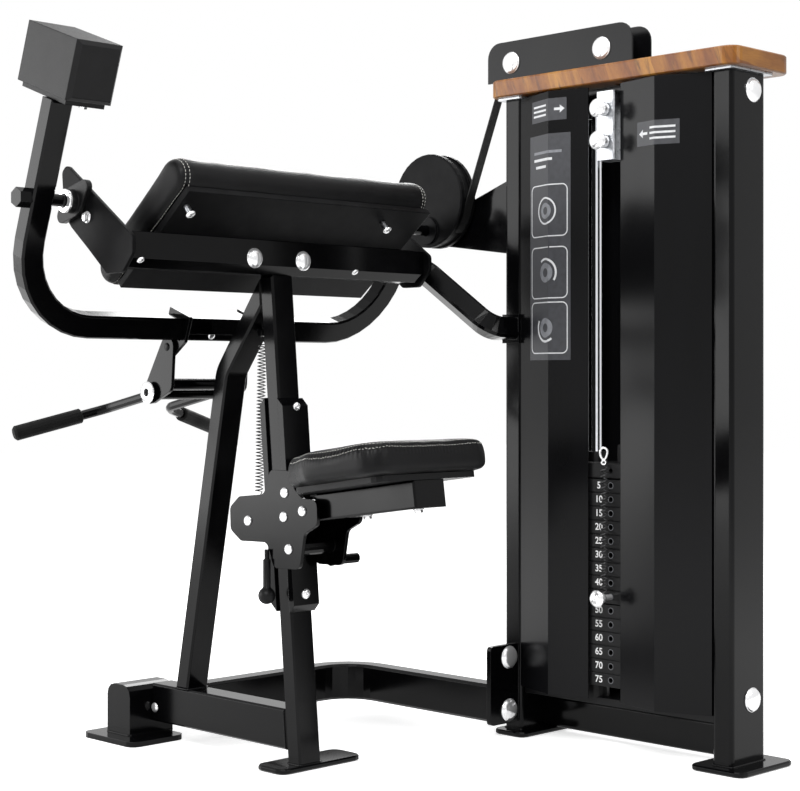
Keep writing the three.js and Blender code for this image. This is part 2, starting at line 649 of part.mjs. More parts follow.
function buildBelt(headTop) {
  const near = new THREE.Vector2(pulley.nearY, pulleyZ);
  const far = new THREE.Vector2(pulley.farY, pulleyZ);
  const disc = new THREE.Vector2(cam.y, cam.z);
  const discRadius = cam.groove + clearance + belt.thick / 2;
  const between = disc.clone().sub(far);
  const lean = between.angle() + Math.acos((beltRadius + discRadius) / between.length()) - full;
  const half = belt.width / 2;
  const fromX = belt.planeX - half;
  const toX = belt.planeX + half;
  const arc = (middle, radius, from, to, steps) => {
    const points = [];
    for (let i = 0; i <= steps; i++) {
      const turn = from + ((to - from) * i) / steps;
      points.push([middle.x + radius * Math.cos(turn), middle.y + radius * Math.sin(turn)]);
    }
    return points;
  };
  const over = [
    ...arc(near, beltRadius, Math.PI, quarter, 2 * bendSteps),
    ...arc(far, beltRadius, quarter, lean, 2 * bendSteps),
  ];
  const lastWay = [Math.cos(lean), Math.sin(lean)];
  addPart("lift_belt_top", "rubber", prism(
    "x", stripOutline(over, belt.thick, [1, 0], lastWay), fromX, toX));

  const dropTop = pulleyZ - clearance;
  const dropBottom = headTop + stack.clevisRise + clearance;
  addPart("lift_belt_drop", "rubber", prism("x", rectangle(
    stackY - belt.thick / 2, stackY + belt.thick / 2, dropBottom, dropTop), fromX, toX));

  const offTop = far.clone().add(new THREE.Vector2(...lastWay).multiplyScalar(beltRadius));
  const start = offTop.clone().addScaledVector(new THREE.Vector2(lastWay[1], -lastWay[0]), clearance);
  const endTurn = lean + Math.PI + belt.endWrap;
  const lower = [
    start.toArray(), ...arc(disc, discRadius, lean + Math.PI, endTurn, belt.wrapSteps),
  ];
  addPart("lift_belt_lower", "rubber", prism("x", stripOutline(
    lower, belt.thick, lastWay, [Math.cos(endTurn), Math.sin(endTurn)]), fromX, toX));

  // Pulleys with their axles, and the two guard plates that carry them.
  const innerLeft = guard.nearX + guard.thick + clearance;
  const innerRight = guard.farX - clearance;
  const outerLeft = guard.nearX - clearance;
  const outerRight = guard.farX + guard.thick + clearance;
  const profile = [
    [0, outerLeft - pulley.capRise],
    [pulley.cap * pulley.crownShare, outerLeft - pulley.capRise + pulley.capEase],
    [pulley.cap, outerLeft - pulley.capEase], [pulley.cap, outerLeft], [pulley.axle, outerLeft],
    [pulley.axle, innerLeft], [pulley.hub, innerLeft],
    [pulley.flange, belt.planeX - pulley.flangeHalf], [pulley.flange, belt.planeX - pulley.grooveHalf],
    [pulley.groove, belt.planeX - pulley.grooveHalf], [pulley.groove, belt.planeX + pulley.grooveHalf],
    [pulley.flange, belt.planeX + pulley.grooveHalf], [pulley.flange, belt.planeX + pulley.flangeHalf],
    [pulley.hub, innerRight], [pulley.axle, innerRight],
    [pulley.axle, outerRight], [pulley.cap, outerRight], [pulley.cap, outerRight + pulley.capEase],
    [pulley.cap * pulley.crownShare, outerRight + pulley.capRise - pulley.capEase],
    [0, outerRight + pulley.capRise],
  ];
  addPart("top_pulley_near", "plastic", turned("x", [0, pulley.nearY, pulleyZ], profile, fineSides));
  addPart("top_pulley_far", "plastic", turned("x", [0, pulley.farY, pulleyZ], profile, fineSides));
  const outline = roundTopped(
    pulley.nearY - guard.before, pulley.farY + guard.behind, woodTop + clearance,
    pulleyZ + guard.cover, guard.corner, bendSteps);
  const bores = [pulley.nearY, pulley.farY].map((y) => circle(y, pulleyZ, pulley.axle + clearance));
  for (const [name, x] of [["left", guard.nearX], ["right", guard.farX]]) {
    addPart(`pulley_guard_${name}`, "satin", prism("x", outline, x, x + guard.thick, bores));
  }
}

const postLean = (postFront.topY - postFront.bottomY) / (postFront.topZ - postFront.bottomZ);
const frontFaceY = (z) => postFront.bottomY + postLean * (z - postFront.bottomZ);
const backFaceY = (z) => frontFaceY(z) + tube.deep;

function buildFrame() {
  const fromX = centreX - tube.half;
  const toX = centreX + tube.half;
  const foot = rounded(rectangle(
    centreX - footFront.left, centreX + footFront.right, footFront.fromY, footFront.toY), footFront.corner);
  const low = footThick - overrun;
  const high = beam.underZ - clearance;
  addPart("post_front", "gloss", weld([prism("z", foot, 0, footThick, [], footEase()), prism("x", [
    [frontFaceY(low), low], [backFaceY(low), low], [backFaceY(high), high], [frontFaceY(high), high],
  ], fromX, toX, [], tube.corner)]));
  const rear = baseTube.rear - clearance;
  addPart("user_base_tube", "gloss", prism("x", [
    [backFaceY(tube.bottom) + clearance, tube.bottom], [rear, tube.bottom], [rear, tube.top],
    [backFaceY(tube.top) + clearance, tube.top],
  ], fromX, toX, [], tube.corner));

  // Rear post: leans forward, then bends over to meet the back of the front post.
  const slope = (postRear.frontY - postRear.kneeY) / (postRear.kneeZ - tube.top);
  const halfWide = (tube.deep / 2) * Math.hypot(1, slope);
  const standZ = tube.top + clearance;
  const headY = backFaceY(postRear.headZ) + clearance;
  const line = bentPath([
    [postRear.frontY + halfWide, standZ, 0], [postRear.kneeY + halfWide, postRear.kneeZ, 0],
    [headY, postRear.headZ, 0],
  ], [postRear.bend], kneeSteps).map((p) => [p.x, p.y]);
  const headCut = new THREE.Vector2(postLean, 1).normalize().toArray();
  const rearPost = prism(
    "x", stripOutline(line, tube.deep, [-1, 0], headCut), fromX, toX, [], tube.corner);

  // The lug that the lift spring hangs from stands on the rear post's upper face.
  const knee = new THREE.Vector2(postRear.kneeY + halfWide, postRear.kneeZ);
  const head = new THREE.Vector2(headY, postRear.headZ);
  const way = head.clone().sub(knee).normalize();
  const faceAway = new THREE.Vector2(-way.y, way.x);
  const eye = new THREE.Vector2(spring.topY, spring.topZ + spring.lug + 3 * clearance);
  const toFace = eye.clone().sub(knee).dot(faceAway) - tube.deep / 2 + overrun;
  const root = eye.clone().addScaledVector(faceAway, -toFace);
  const lugHalf = spring.lugLong / 2;
  addPart("post_rear", "gloss", weld([
    rearPost, rod("x", [0, eye.x, eye.y], spring.lug, centreX - lugHalf, centreX + lugHalf),
    prism("x", stripOutline([eye.toArray(), root.toArray()], spring.lug, way.toArray(), way.toArray()),
      centreX - lugHalf, centreX + lugHalf),
  ]));

  const footPlate = rounded(rectangle(
    centreX - footRear.left, centreX + footRear.right, footRear.fromY, footRear.toY), footRear.corner);
  const stand = prism("x", roundTopped(
    baseTube.rear, footRear.boxRear, footThick - overrun, tube.top, footRear.round),
  centreX - footRear.boxLeft, centreX + footRear.boxRight);
  addPart("rear_foot", "gloss", weld([prism("z", footPlate, 0, footThick), stand]));

  const path = bentPath([
    [curved.centreX, postFarY + tower.postCorner + lug.thick + clearance, 0],
    [curved.centreX, curved.railY, 0], [centreX + tube.half + clearance, curved.railY, 0],
  ], [curved.bend]).map((p) => [p.x, p.y]);
  addPart("curved_base_tube", "gloss", prism("z", stripOutline(
    path, 2 * curved.half, [-1, 0], [0, -1]), tube.bottom, tube.top, [], curved.corner));

  // Guide strips on the front post's two faces, tapered at both ends.
  const lean = new THREE.Vector2(postLean, 1).normalize();
  for (const [name, faceY, way] of [["front", frontFaceY, -1], ["rear", backFaceY, 1]]) {
    const near = way * clearance;
    const far = way * (clearance + strip.thick);
    const point = (z, out) => [faceY(z) + out / lean.y, z];
    addPart(`guide_strip_${name}`, "gloss", prism("x", [
      point(strip.bottom, near), point(strip.bottom + strip.taper, far),
      point(strip.top - strip.taper, far), point(strip.top, near),
    ], centreX - strip.half, centreX + strip.half));
  }
}

// The pad's own frame: along the slope, out of the upper face, and back to the machine's frame.
const padAlong = [Math.cos(pad.slope), -Math.sin(pad.slope)];
const padOut = [Math.sin(pad.slope), Math.cos(pad.slope)];
const padPoint = (along, out) => [
  pad.topY + padAlong[0] * along + padOut[0] * out, pad.topZ + padAlong[1] * along + padOut[1] * out,
];

function buildBeam() {
  const seatOut = -(pad.thick + board.thick + 2 * clearance) - clearance;
  const [boardY, boardZ] = padPoint(0, seatOut);
  const underBoard = (y) => boardZ + ((y - boardY) * padAlong[1]) / padAlong[0];
  const outline = [
    [beam.faceY, beam.faceZ], [beam.leftY, beam.underZ], [beam.rightY, beam.underZ],
    [beam.rear, underBoard(beam.rear)], [beam.faceY, underBoard(beam.faceY)],
  ];
  addPart("beam", "gloss", prism("x", outline, centreX - beam.half, centreX + beam.half, [], beam.ease));

  // End brackets: they cover the beam's ends and rise to the pivot bearings.
  const web = rounded([
    ...bracket.fromBeam.map(([y, z]) => [beam.faceY + y, beam.faceZ + z]),
    ...bracket.fromPivot.map(([y, z]) => [pivot.y + y, pivot.z + z]),
  ], bracket.round);
  const bore = circle(pivot.y, pivot.z, pivot.bore);
  const bracketIn = beam.half + clearance;
  addPart("pivot_bracket_left", "gloss", prism(
    "x", web, centreX - bracketIn - bracket.thick, centreX - bracketIn, [bore]));
  addPart("pivot_bracket_right", "gloss", prism(
    "x", web, centreX + bracketIn, centreX + bracketIn + bracket.thick, [bore]));

  // Two-bolt flange bearings on the outer faces of the brackets.
  for (const [name, way] of [["left", -1], ["right", 1]]) {
    const face = centreX + way * (bracketIn + bracket.thick + clearance);
    const boltY = flange.boltAt * Math.cos(flange.turn);
    const boltZ = flange.boltAt * Math.sin(flange.turn);
    const bearingOutline = band([
      [pivot.y, pivot.z, pivot.boss], [pivot.y - boltY, pivot.z - boltZ, flange.boltRound],
      [pivot.y + boltY, pivot.z + boltZ, flange.boltRound],
    ]);
    const end = face + way * flange.thick;
    const nose = face + way * (flange.thick + flange.boss);
    const seatPlate = prism("x", bearingOutline, Math.min(face, end), Math.max(face, end));
    const noseFrom = Math.min(end - way * overrun, nose);
    const noseTo = Math.max(end - way * overrun, nose);
    const boss = rod("x", [0, pivot.y, pivot.z], flange.insert, noseFrom, noseTo, wheelSides);
    const cut = rod("x", [0, pivot.y, pivot.z], pivot.bore,
      Math.min(face, nose) - overrun, Math.max(face, nose) + overrun);
    addPart(`flange_bearing_${name}`, "iron", weld([seatPlate, boss], [cut]));
  }

  // Swan-neck tube from the beam's right end down to the tower's far post.
  const start = centreX + beam.half + clearance + bracket.thick + clearance;
  const path = bentPath([
    [start, neck.startY, neck.startZ], [neck.kneeX, neck.startY, neck.startZ],
    [neck.dropX, neck.endY, neck.endZ], [neck.endX, neck.endY, neck.endZ],
  ], [neck.bend, neck.endBend], neck.steps);
  const section = rounded(
    rectangle(-neck.half, neck.half, -neck.half, neck.half), neck.corner, bevelSteps);
  const tubeBody = sweep(section, path, new THREE.Vector3(0, 1, 0));
  const endPlate = prism("x", rectangle(
    neck.endY - neck.plateHalf, neck.endY + neck.plateHalf, neck.endZ - neck.plateHalf - neck.plateThick,
    neck.endZ + neck.plateHalf + neck.plateThick), neck.endX, -clearance);
  addPart("swan_neck_tube", "gloss", weld([tubeBody, endPlate]));

  // Plate behind the cam that ties the shaft's end to the tower.
  const postRearY = postFarY + tower.postThick + clearance;
  const lobe = band([
    [pivot.y, pivot.z, camSupport.lobe],
    [postRearY + camSupport.corner, pivot.z + camSupport.above, camSupport.corner],
    [postRearY + camSupport.corner, pivot.z - camSupport.below, camSupport.corner],
  ]);
  addPart("cam_support_plate", "gloss", prism(
    "x", lobe, camSupport.fromX, camSupport.fromX + camSupport.thick, [bore]));
}

// A cushion's section ring: a rounded bar section with a crowned upper face.
function padRing(x, inset) {
  const points = rounded(rectangle(
    pad.from + inset, pad.to - inset, -pad.thick + inset, -inset), pad.round - inset * 0.5, pad.points);
  const middle = (pad.from + pad.to) / 2;
  const halfLong = (pad.to - pad.from) / 2;
  return points.map(([along, out]) => {
    const share = (along - middle) / halfLong;
    const lift = out > -pad.thick / 2 ? pad.crown * (1 - share * share) : 0;
    const [y, z] = padPoint(along, out + lift);
    return new THREE.Vector3(x, y, z);
  });
}

function buildPads() {
  const rings = [];
  const left = centreX - beam.half + pad.leftRoom;
  const right = centreX + beam.half - pad.rightRoom;
  // Shares of the drawn-in depth and of the distance from the end, from the end face inwards.
  const endShares = [[1, 0], [0.62, 0.12], [0.3, 0.4], [0.08, 0.75], [0, 1.2]];
  const endLong = pad.drawn * 2;
  endShares.forEach(([inset, place]) => {
    rings.push(padRing(left + endLong * place, pad.drawn * inset));
  });
  rings.push(padRing((left + right) / 2, 0));
  [...endShares].reverse().forEach(([inset, place]) => {
    rings.push(padRing(right - endLong * place, pad.drawn * inset));
  });
  addPart("arm_pad", "vinyl", loft(rings));
  const top = -pad.thick - clearance;
  const outline = [
    padPoint(board.from, top), padPoint(board.to, top), padPoint(board.to, top - board.thick),
    padPoint(board.from, top - board.thick),
  ];
  addPart("arm_pad_board", "plastic", prism(
    "x", outline, left + board.leftInset, right - board.rightInset));
}

// The yoke's own frame: through its thickness, and down its slope from the pivot.
const yokeDown = [Math.sin(yoke.lean), -Math.cos(yoke.lean)];
const yokeOut = [Math.cos(yoke.lean), Math.sin(yoke.lean)];
const yokePoint = (out, down) => [
  pivot.y + yokeOut[0] * out + yokeDown[0] * down, pivot.z + yokeOut[1] * out + yokeDown[1] * down,
];
const yokeFrame = new THREE.Matrix4().set(
  1, 0, 0, centreX,
  0, yokeDown[0], yokeOut[0], pivot.y,
  0, yokeDown[1], yokeOut[1], pivot.z,
  0, 0, 0, 1,
);

// The outline is drawn across the machine and down the slope, and carried through the thickness.
function yokePlate(outline, fromOut, toOut, ease = 0) {
  const shape = new THREE.Shape(outline.map((p) => new THREE.Vector2(...p)));
  const geometry = new THREE.ExtrudeGeometry(shape, {
    depth: toOut - fromOut - 2 * ease, steps: 1, bevelEnabled: ease > 0, bevelSegments: 1,
    bevelSize: ease, bevelThickness: ease, bevelOffset: -ease,
  });
  return geometry.translate(0, 0, fromOut + ease).applyMatrix4(yokeFrame);
}

function buildYoke() {
  const line = bentPath([
    [-yokeHalf, -yoke.rise, 0], [-yokeHalf, yoke.drop, 0], [yokeHalf, yoke.drop, 0],
    [yokeHalf, -yoke.rightRise, 0],
  ], [yoke.bend, yoke.bend], yoke.bendSteps).map((p) => [p.x, p.y]);
  const outline = stripOutline(line, 2 * yoke.inPlane, [1, 0], [1, 0]);
  const frame = yokePlate(outline, -yoke.deep, yoke.deep, yoke.corner);
  const axis = [0, pivot.y, pivot.z];
  const armOut = yokeHalf + yoke.inPlane;
  const boreHalf = yoke.inPlane + overrun;
  const bore = (side) => rod("x", axis, pivot.bore,
    centreX + side * yokeHalf - boreHalf, centreX + side * yokeHalf + boreHalf);
  addPart("yoke", "gloss", weld([frame], [bore(-1), bore(1)]));

  const shaftIn = beam.half - bracket.thick;
  const leftEnd = centreX - armOut - clearance;
  const leftShaft = rod("x", axis, pivot.shaft, leftEnd - overrun, centreX - shaftIn - 2 * bracket.thick);
  const hexagon = 6;
  const leftCap = rod("x", axis, pivot.capRadius, leftEnd - pivot.capLong, leftEnd, hexagon);
  addPart("pivot_shaft_left", "steel", weld([leftShaft, leftCap]));
  addPart("pivot_shaft_right", "steel", rod("x", axis, pivot.shaft,
    centreX + beam.half + clearance, camSupport.fromX + camSupport.thick + overrun));

  const seatTop = -yoke.rise - clearance;
  const seatPlateTop = seatTop - weight.seat;
  const half = weight.wide / 2;
  const wide = half - yokeHalf - yoke.inPlane;
  const block = yokePlate(rectangle(
    wide - half, wide + half, seatPlateTop - weight.high, seatPlateTop),
  weight.fromM, weight.toM, weight.ease);
  const seatPlate = yokePlate(rectangle(
    wide - half + weight.ease, wide + half - weight.ease, seatPlateTop - overrun, seatTop),
  weight.fromM + 2 * weight.ease, weight.toM - 2 * weight.ease);
  addPart("counterweight", "iron", weld([block, seatPlate]));

  // Saddle bracket round the yoke's cross bar, with a lobed plate at each end.
  const pinAt = yokePoint(saddle.pinM, saddle.pinS);
  const saddleFrom = centreX - saddle.left;
  const saddleTo = centreX + saddle.right;
  const roomM = yoke.deep + clearance;
  const upper = yoke.drop - yoke.inPlane - clearance;
  const lower = yoke.drop + yoke.inPlane + clearance;
  const endOutline = (grow) => {
    const corners = [
      [-saddle.halfM, upper - saddle.skin], [saddle.halfM, upper - saddle.skin],
      [saddle.halfM, lower - overrun], [-saddle.halfM, lower - overrun],
    ].map(([m, s]) => [...yokePoint(m, s), grow]);
    return band([...corners, [...pinAt, saddle.lobe]], wheelSides);
  };
  const endPlates = [saddleFrom, saddleTo - saddle.thick].map((x) => prism(
    "x", endOutline(saddle.plateRound), x, x + saddle.thick));
  const inX = [saddleFrom - centreX, saddleTo - centreX];
  const topSkin = yokePlate(rectangle(
    inX[0], inX[1], upper - saddle.skin, upper), -saddle.halfM, saddle.halfM);
  const frontSkin = yokePlate(rectangle(
    inX[0], inX[1], upper - saddle.skin, upper + saddle.front), -saddle.halfM, -roomM - clearance);
  const barRoom = yokePlate(rectangle(
    inX[0] - overrun, inX[1] + overrun, upper, lower), -roomM, roomM);
  const pinBores = rod(
    "x", [0, ...pinAt], saddle.pin + clearance, saddleFrom - overrun, saddleTo + overrun);
  addPart("yoke_bracket", "gloss", weld([...endPlates, topSkin, frontSkin], [barRoom, pinBores]));

  // Swinging fork with two three-cornered plates, their cross tube, and the pins it hangs from.
  const outer = [saddleFrom - clearance - fork.thick, saddleTo + clearance];
  const plateOutline = band([[...pinAt, saddle.lobe], [hub.y, hub.z, fork.hubLobe],
    [fork.tieY, fork.tieZ, fork.tieLobe]]);
  const plates = outer.map((x) => prism(
    "x", plateOutline, x, x + fork.thick, [circle(hub.y, hub.z, fork.bore)]));
  const tie = rod("x", [0, fork.tieY, fork.tieZ], fork.tie, outer[0] + overrun, outer[1] + overrun);
  const pins = outer.map((x, i) => {
    const inward = i === 0 ? x + fork.thick + saddle.thick + saddle.head : x - saddle.thick - saddle.head;
    const outward = i === 0 ? x + overrun : x + fork.thick - overrun;
    return rod("x", [0, ...pinAt], saddle.pin, Math.min(inward, outward), Math.max(inward, outward));
  });
  addPart("handle_fork", "gloss", weld([...plates, tie, ...pins]));

  // Handle bar: hub tube between the fork's plates and a bent arm on each side.
  const hubFrom = outer[0] + fork.thick + clearance;
  const hubTo = outer[1] - clearance;
  const hubTube = rod("x", [0, hub.y, hub.z], hub.tube, hubFrom, hubTo, wheelSides);
  const capLeft = outer[0] - clearance;
  const capRight = outer[1] + fork.thick + clearance;
  const hubPin = rod("x", [0, hub.y, hub.z], hub.pin, capLeft - hub.sink, capRight + hub.sink);
  const capProfile = (face, way) => [
    [0, face], [hub.cap, face], [hub.cap, face + way * hub.capEase],
    [hub.cap - hub.capEase, face + way * hub.capLong], [0, face + way * hub.capLong],
  ];
  const caps = [
    turned("x", [0, hub.y, hub.z], capProfile(capLeft, -1), wheelSides),
    turned("x", [0, hub.y, hub.z], capProfile(capRight, 1), wheelSides),
  ];
  const arms = [-1, 1].map((side) => {
    const path = bentPath([
      [centreX + side * handle.neckHalf, hub.y, hub.z],
      [centreX + side * handle.kneeHalf, handle.kneeY, handle.kneeZ],
      [centreX + side * handle.endHalf, handle.endY, handle.endZ],
    ], [handle.bend], bendSteps);
    return sweep(circle(0, 0, handle.radius, handle.sides), path, new THREE.Vector3(0, 0, 1));
  });
  addPart("handle_bar", "gloss", weld([hubTube, hubPin, ...caps, ...arms]));

  for (const [name, side] of [["left", -1], ["right", 1]]) {
    const end = new THREE.Vector3(centreX + side * handle.endHalf, handle.endY, handle.endZ);
    const knee = new THREE.Vector3(centreX + side * handle.kneeHalf, handle.kneeY, handle.kneeZ);
    const way = end.clone().sub(knee).normalize();
    const boreEnd = grip.long - grip.floor;
    const root = end.clone().addScaledVector(way, clearance - boreEnd + grip.inset);
    addPart(`grip_${name}`, "rubber", turnedAlong(root, end.clone().addScaledVector(way, grip.long), [
      [0, boreEnd - grip.inset], [grip.bore, boreEnd - grip.inset], [grip.bore, handle.bend],
      [grip.outer - grip.lip, handle.bend], [grip.outer, handle.bend + grip.lip],
      [grip.outer, grip.long - grip.dome - grip.inset],
      [grip.outer * domeShare, grip.long - grip.nose - grip.inset],
      [0, grip.long - grip.inset],
    ], roundSides));
  }
}

function buildCam() {
  const half = belt.width / 2 + clearance;
  const disc = turned("x", [0, cam.y, cam.z], [
    [0, cam.from], [cam.flange - cam.ease, cam.from], [cam.flange, cam.from + cam.ease],
    [cam.flange, belt.planeX - half], [cam.groove, belt.planeX - half],
    [cam.groove, belt.planeX + half], [cam.flange, belt.planeX + half],
    [cam.flange, cam.to - cam.ease], [cam.flange - cam.ease, cam.to], [0, cam.to],
  ], camSides);
  const bore = rod("x", [0, pivot.y, pivot.z], pivot.bore, cam.from - cam.web - overrun, cam.to + overrun);
  const hubBoss = rod("x", [0, pivot.y, pivot.z], cam.hubRound,
    cam.from - cam.web, cam.from + cam.web, wheelSides);
  addPart("cam", "satin", weld([disc, hubBoss], [bore]));
}

// The seat's own frame: along it towards the front, and up out of it.
const seatAlong = [Math.cos(seat.slope), -Math.sin(seat.slope)];
const seatUp = [Math.sin(seat.slope), Math.cos(seat.slope)];
const seatPoint = (along, up) => [
  seat.y + seatAlong[0] * along + seatUp[0] * up, seat.z + seatAlong[1] * along + seatUp[1] * up,
];

const crownShare = 0.8; // share of the seat's half width over which its crown rises
const waistShare = 0.75;

function seatRing(outline, up, inset) {
  const middle = [centreX, (seat.padFrom + seat.padTo) / 2];
  return outline.map(([x, along]) => {
    const away = new THREE.Vector2(x - middle[0], along - middle[1]);
    away.multiplyScalar(1 - inset / away.length());
    const share = Math.min(1, inset / (seat.padRear * crownShare));
    const [y, z] = seatPoint(middle[1] + away.y, up + seat.crown * share);
    return new THREE.Vector3(middle[0] + away.x, y, z);
  });
}

function buildSeat() {
  const tapered = (from, to, rearHalf, frontHalf, waist) => [
    [centreX - rearHalf, from], [centreX + rearHalf, from], [centreX + rearHalf, waist],
    [centreX + frontHalf, to], [centreX - frontHalf, to], [centreX - rearHalf, waist],
  ];
  const boardShape = rounded(tapered(
    seat.boardFrom, seat.boardTo, seat.boardRear, seat.boardFront, seat.waist), seat.boardCorner);
  const boardBottom = clearance;
  const boardTop = boardBottom + seat.boardThick;
  const place = (x, along, up) => new THREE.Vector3(x, ...seatPoint(along, up));
  addPart("seat_board", "plastic", loft([
    boardShape.map(([x, along]) => place(x, along, boardBottom)),
    boardShape.map(([x, along]) => place(x, along, boardTop)),
  ]));
  const padShape = rounded(tapered(
    seat.padFrom, seat.padTo, seat.padRear, seat.padFront, seat.waist * waistShare),
  seat.padCorner, seat.cornerSteps);
  const low = boardTop + clearance;
  // Shares of the pad's thickness and of the drawn-in depth, from the underside up and over the edge.
  const ringShares = [
    [0, 1.4], [0.05, 0.5], [0.195, 0], [0.645, 0], [0.855, 0.35], [0.95, 1], [1, 2.4], [1, 6], [1, 10],
  ];
  addPart("seat_pad", "vinyl", loft(ringShares.map(([rise, draw]) => seatRing(
    padShape, low + seat.padThick * rise, seat.drawn * draw))));

  // Carriage: clover plates on both sides of the post, held apart by rollers and spacers.
  const around = (points, y, z) => points.map(([a, b]) => [y + a, z + b]);
  const plateOutline = rounded([
    ...around(clover.front, carriage.frontY, carriage.frontZ),
    ...around(clover.low, carriage.lowY, carriage.lowZ),
    ...around(clover.rear, carriage.rearY, carriage.rearZ),
    ...around(clover.up, carriage.upY, carriage.upZ),
    ...around(clover.notch, carriage.frontY, carriage.frontZ),
  ], carriage.round);
  const outer = carriage.half + carriage.thick;
  const plates = [[-outer, -carriage.half], [carriage.half, outer]].map(([from, to]) => prism(
    "x", plateOutline, centreX + from, centreX + to));
  const inFrom = centreX - carriage.half - overrun;
  const inTo = centreX + carriage.half + overrun;
  const lean = Math.hypot(1, postLean);
  const stripOut = clearance + strip.thick + carriage.slack;
  const frontRoom = (y, z) => (frontFaceY(z) - y) / lean - stripOut;
  const rearRoom = (y, z) => (y - backFaceY(z)) / lean - stripOut;
  const across = (y, z, radius) => rod("x", [0, y, z], radius, inFrom, inTo, roundSides);
  const rollers = [
    across(carriage.rearY, carriage.rearZ, rearRoom(carriage.rearY, carriage.rearZ)),
    across(carriage.upY, carriage.upZ, frontRoom(carriage.upY, carriage.upZ)),
    across(carriage.lowY, carriage.lowZ, frontRoom(carriage.lowY, carriage.lowZ)),
    across(carriage.frontY, carriage.frontZ, carriage.small),
    across(carriage.anchorY, carriage.anchorZ, carriage.small),
  ];
  const armOutline = [
    seatPoint(0, 0), seatPoint(seat.armLong, 0), seatPoint(seat.armLong, -seat.armDeep),
    seatPoint(0, -seat.armDeep),
  ];
  const arm = prism(
    "x", armOutline, centreX - seat.armHalf, centreX + seat.armHalf, [], seat.armCorner / 2);
  addPart("seat_carriage", "gloss", weld([...plates, ...rollers, arm]));

  // Lift spring from the rear post down to the carriage, with a lug at its top.
  const springZ = carriage.anchorZ + carriage.small + clearance + spring.wire;
  const lowPoint = new THREE.Vector3(centreX, carriage.anchorY, springZ);
  const topPoint = new THREE.Vector3(centreX, spring.topY, spring.topZ);
  const path = woundPath(topPoint, lowPoint, spring);
  addPart("seat_spring", "steel", sweep(
    circle(0, 0, spring.wire, spring.sides), path, new THREE.Vector3(1, 0, 0)));
  console.log("spring least gap", leastGap(path, spring.wire, spring.steps - 1).toFixed(2));

  // Release lever on the carriage's right plate, and the pull knob under its left plate.
  const leverX = centreX + outer + clearance;
  const leverPlate = prism("x", band([[lever.pivotY, lever.pivotZ, lever.round],
    [lever.handY, lever.handZ, lever.round], [lever.tieY, lever.tieZ, lever.round]]),
  leverX, leverX + lever.thick);
  const leverHand = rod("x", [0, lever.handY, lever.handZ], lever.hand,
    leverX + lever.sink, leverX + lever.long);
  addPart("release_lever", "gloss", weld([leverPlate, leverHand]));
  const knobX = centreX - outer - clearance - knob.rod;
  addPart("adjuster_knob", "plastic", turned("z", [knobX, knob.y, 0], [
    [0, knob.ballZ - knob.ball], [knob.ball * domeShare, knob.ballZ - knob.ball * domeShare],
    [knob.ball, knob.ballZ], [knob.ball * domeShare, knob.ballZ + knob.ball * domeShare],
    [knob.rod, knob.ballZ + knob.ball], [knob.rod, knob.top + knob.inside],
    [0, knob.top + knob.inside],
  ]));
}

buildTower();
buildShroud();
const stackPlaces = buildStack();
buildBelt(stackPlaces.headTop);
buildFrame();
buildBeam();
buildPads();
buildYoke();
buildCam();
buildSeat();

// The footprint's middle goes to the origin.
const bounds = new THREE.Box3().setFromObject(model);
const shift = bounds.getCenter(new THREE.Vector3()).negate();
shift.z = -bounds.min.z;
for (const mesh of model.children) mesh.geometry.translate(shift.x, shift.y, shift.z);
const size = bounds.getSize(new THREE.Vector3());
console.log("shift", shift.toArray().map((v) => v.toFixed(3)).join(" "));
console.log("size", size.toArray().map((v) => v.toFixed(1)).join(" "));
console.log("meshes", model.children.length, "facets", model.children.reduce(
  (sum, mesh) => sum + mesh.geometry.index.count / 3, 0));

export default model;
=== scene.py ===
"""Visual model of a seated biceps curl machine: its finishes, padding, fasteners, labels and light.

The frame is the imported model's own: metres, +Z up, +X from the user's side to the weight tower and +Y
the way the seated user faces. Sizes below are in millimetres, measured from the tower post's corner,
and place() or MM turns them into metres.
"""

import json
import logging
import math
from dataclasses import dataclass, field
from enum import Enum
from typing import Any, Callable, ClassVar, Iterable, Optional, Sequence, Union

import bmesh
import bpy
from mathutils import Matrix, Vector
from mathutils.bvhtree import BVHTree


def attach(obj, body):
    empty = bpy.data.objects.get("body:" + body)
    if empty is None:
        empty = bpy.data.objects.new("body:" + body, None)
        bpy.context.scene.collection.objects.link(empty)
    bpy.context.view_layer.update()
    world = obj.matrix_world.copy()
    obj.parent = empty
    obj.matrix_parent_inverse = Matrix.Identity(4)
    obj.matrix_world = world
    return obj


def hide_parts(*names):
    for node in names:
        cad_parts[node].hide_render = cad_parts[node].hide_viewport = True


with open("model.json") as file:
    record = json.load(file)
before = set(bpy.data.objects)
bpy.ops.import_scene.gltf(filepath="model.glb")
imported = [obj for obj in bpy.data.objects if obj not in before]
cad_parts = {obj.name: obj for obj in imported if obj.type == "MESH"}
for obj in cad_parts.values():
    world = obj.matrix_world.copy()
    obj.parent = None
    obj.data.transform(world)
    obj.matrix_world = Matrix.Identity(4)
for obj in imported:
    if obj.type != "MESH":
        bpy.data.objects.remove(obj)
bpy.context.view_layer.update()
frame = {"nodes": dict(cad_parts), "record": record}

LOG = logging.getLogger("scene")
MM = 0.001
SHIFT_X, SHIFT_Y = 482.150, -640.887  # from the tower post's corner to the middle of the footprint
CENTRE_X = -586.0  # middle of the user's side
FULL_TURN = 2 * math.pi
QUARTER_TURN = math.pi / 2
LEFT, RIGHT = Vector((-1, 0, 0)), Vector((1, 0, 0))
TO_USER, FROM_USER = Vector((0, -1, 0)), Vector((0, 1, 0))
UP = Vector((0, 0, 1))

Mesh = bmesh.types.BMesh
Piece = bpy.types.Object
Material = bpy.types.Material
Socket = bpy.types.NodeSocket
Point = Sequence[float]
SkinLine = list[tuple[Vector, Vector]]  # points on a skin, each with the skin's normal


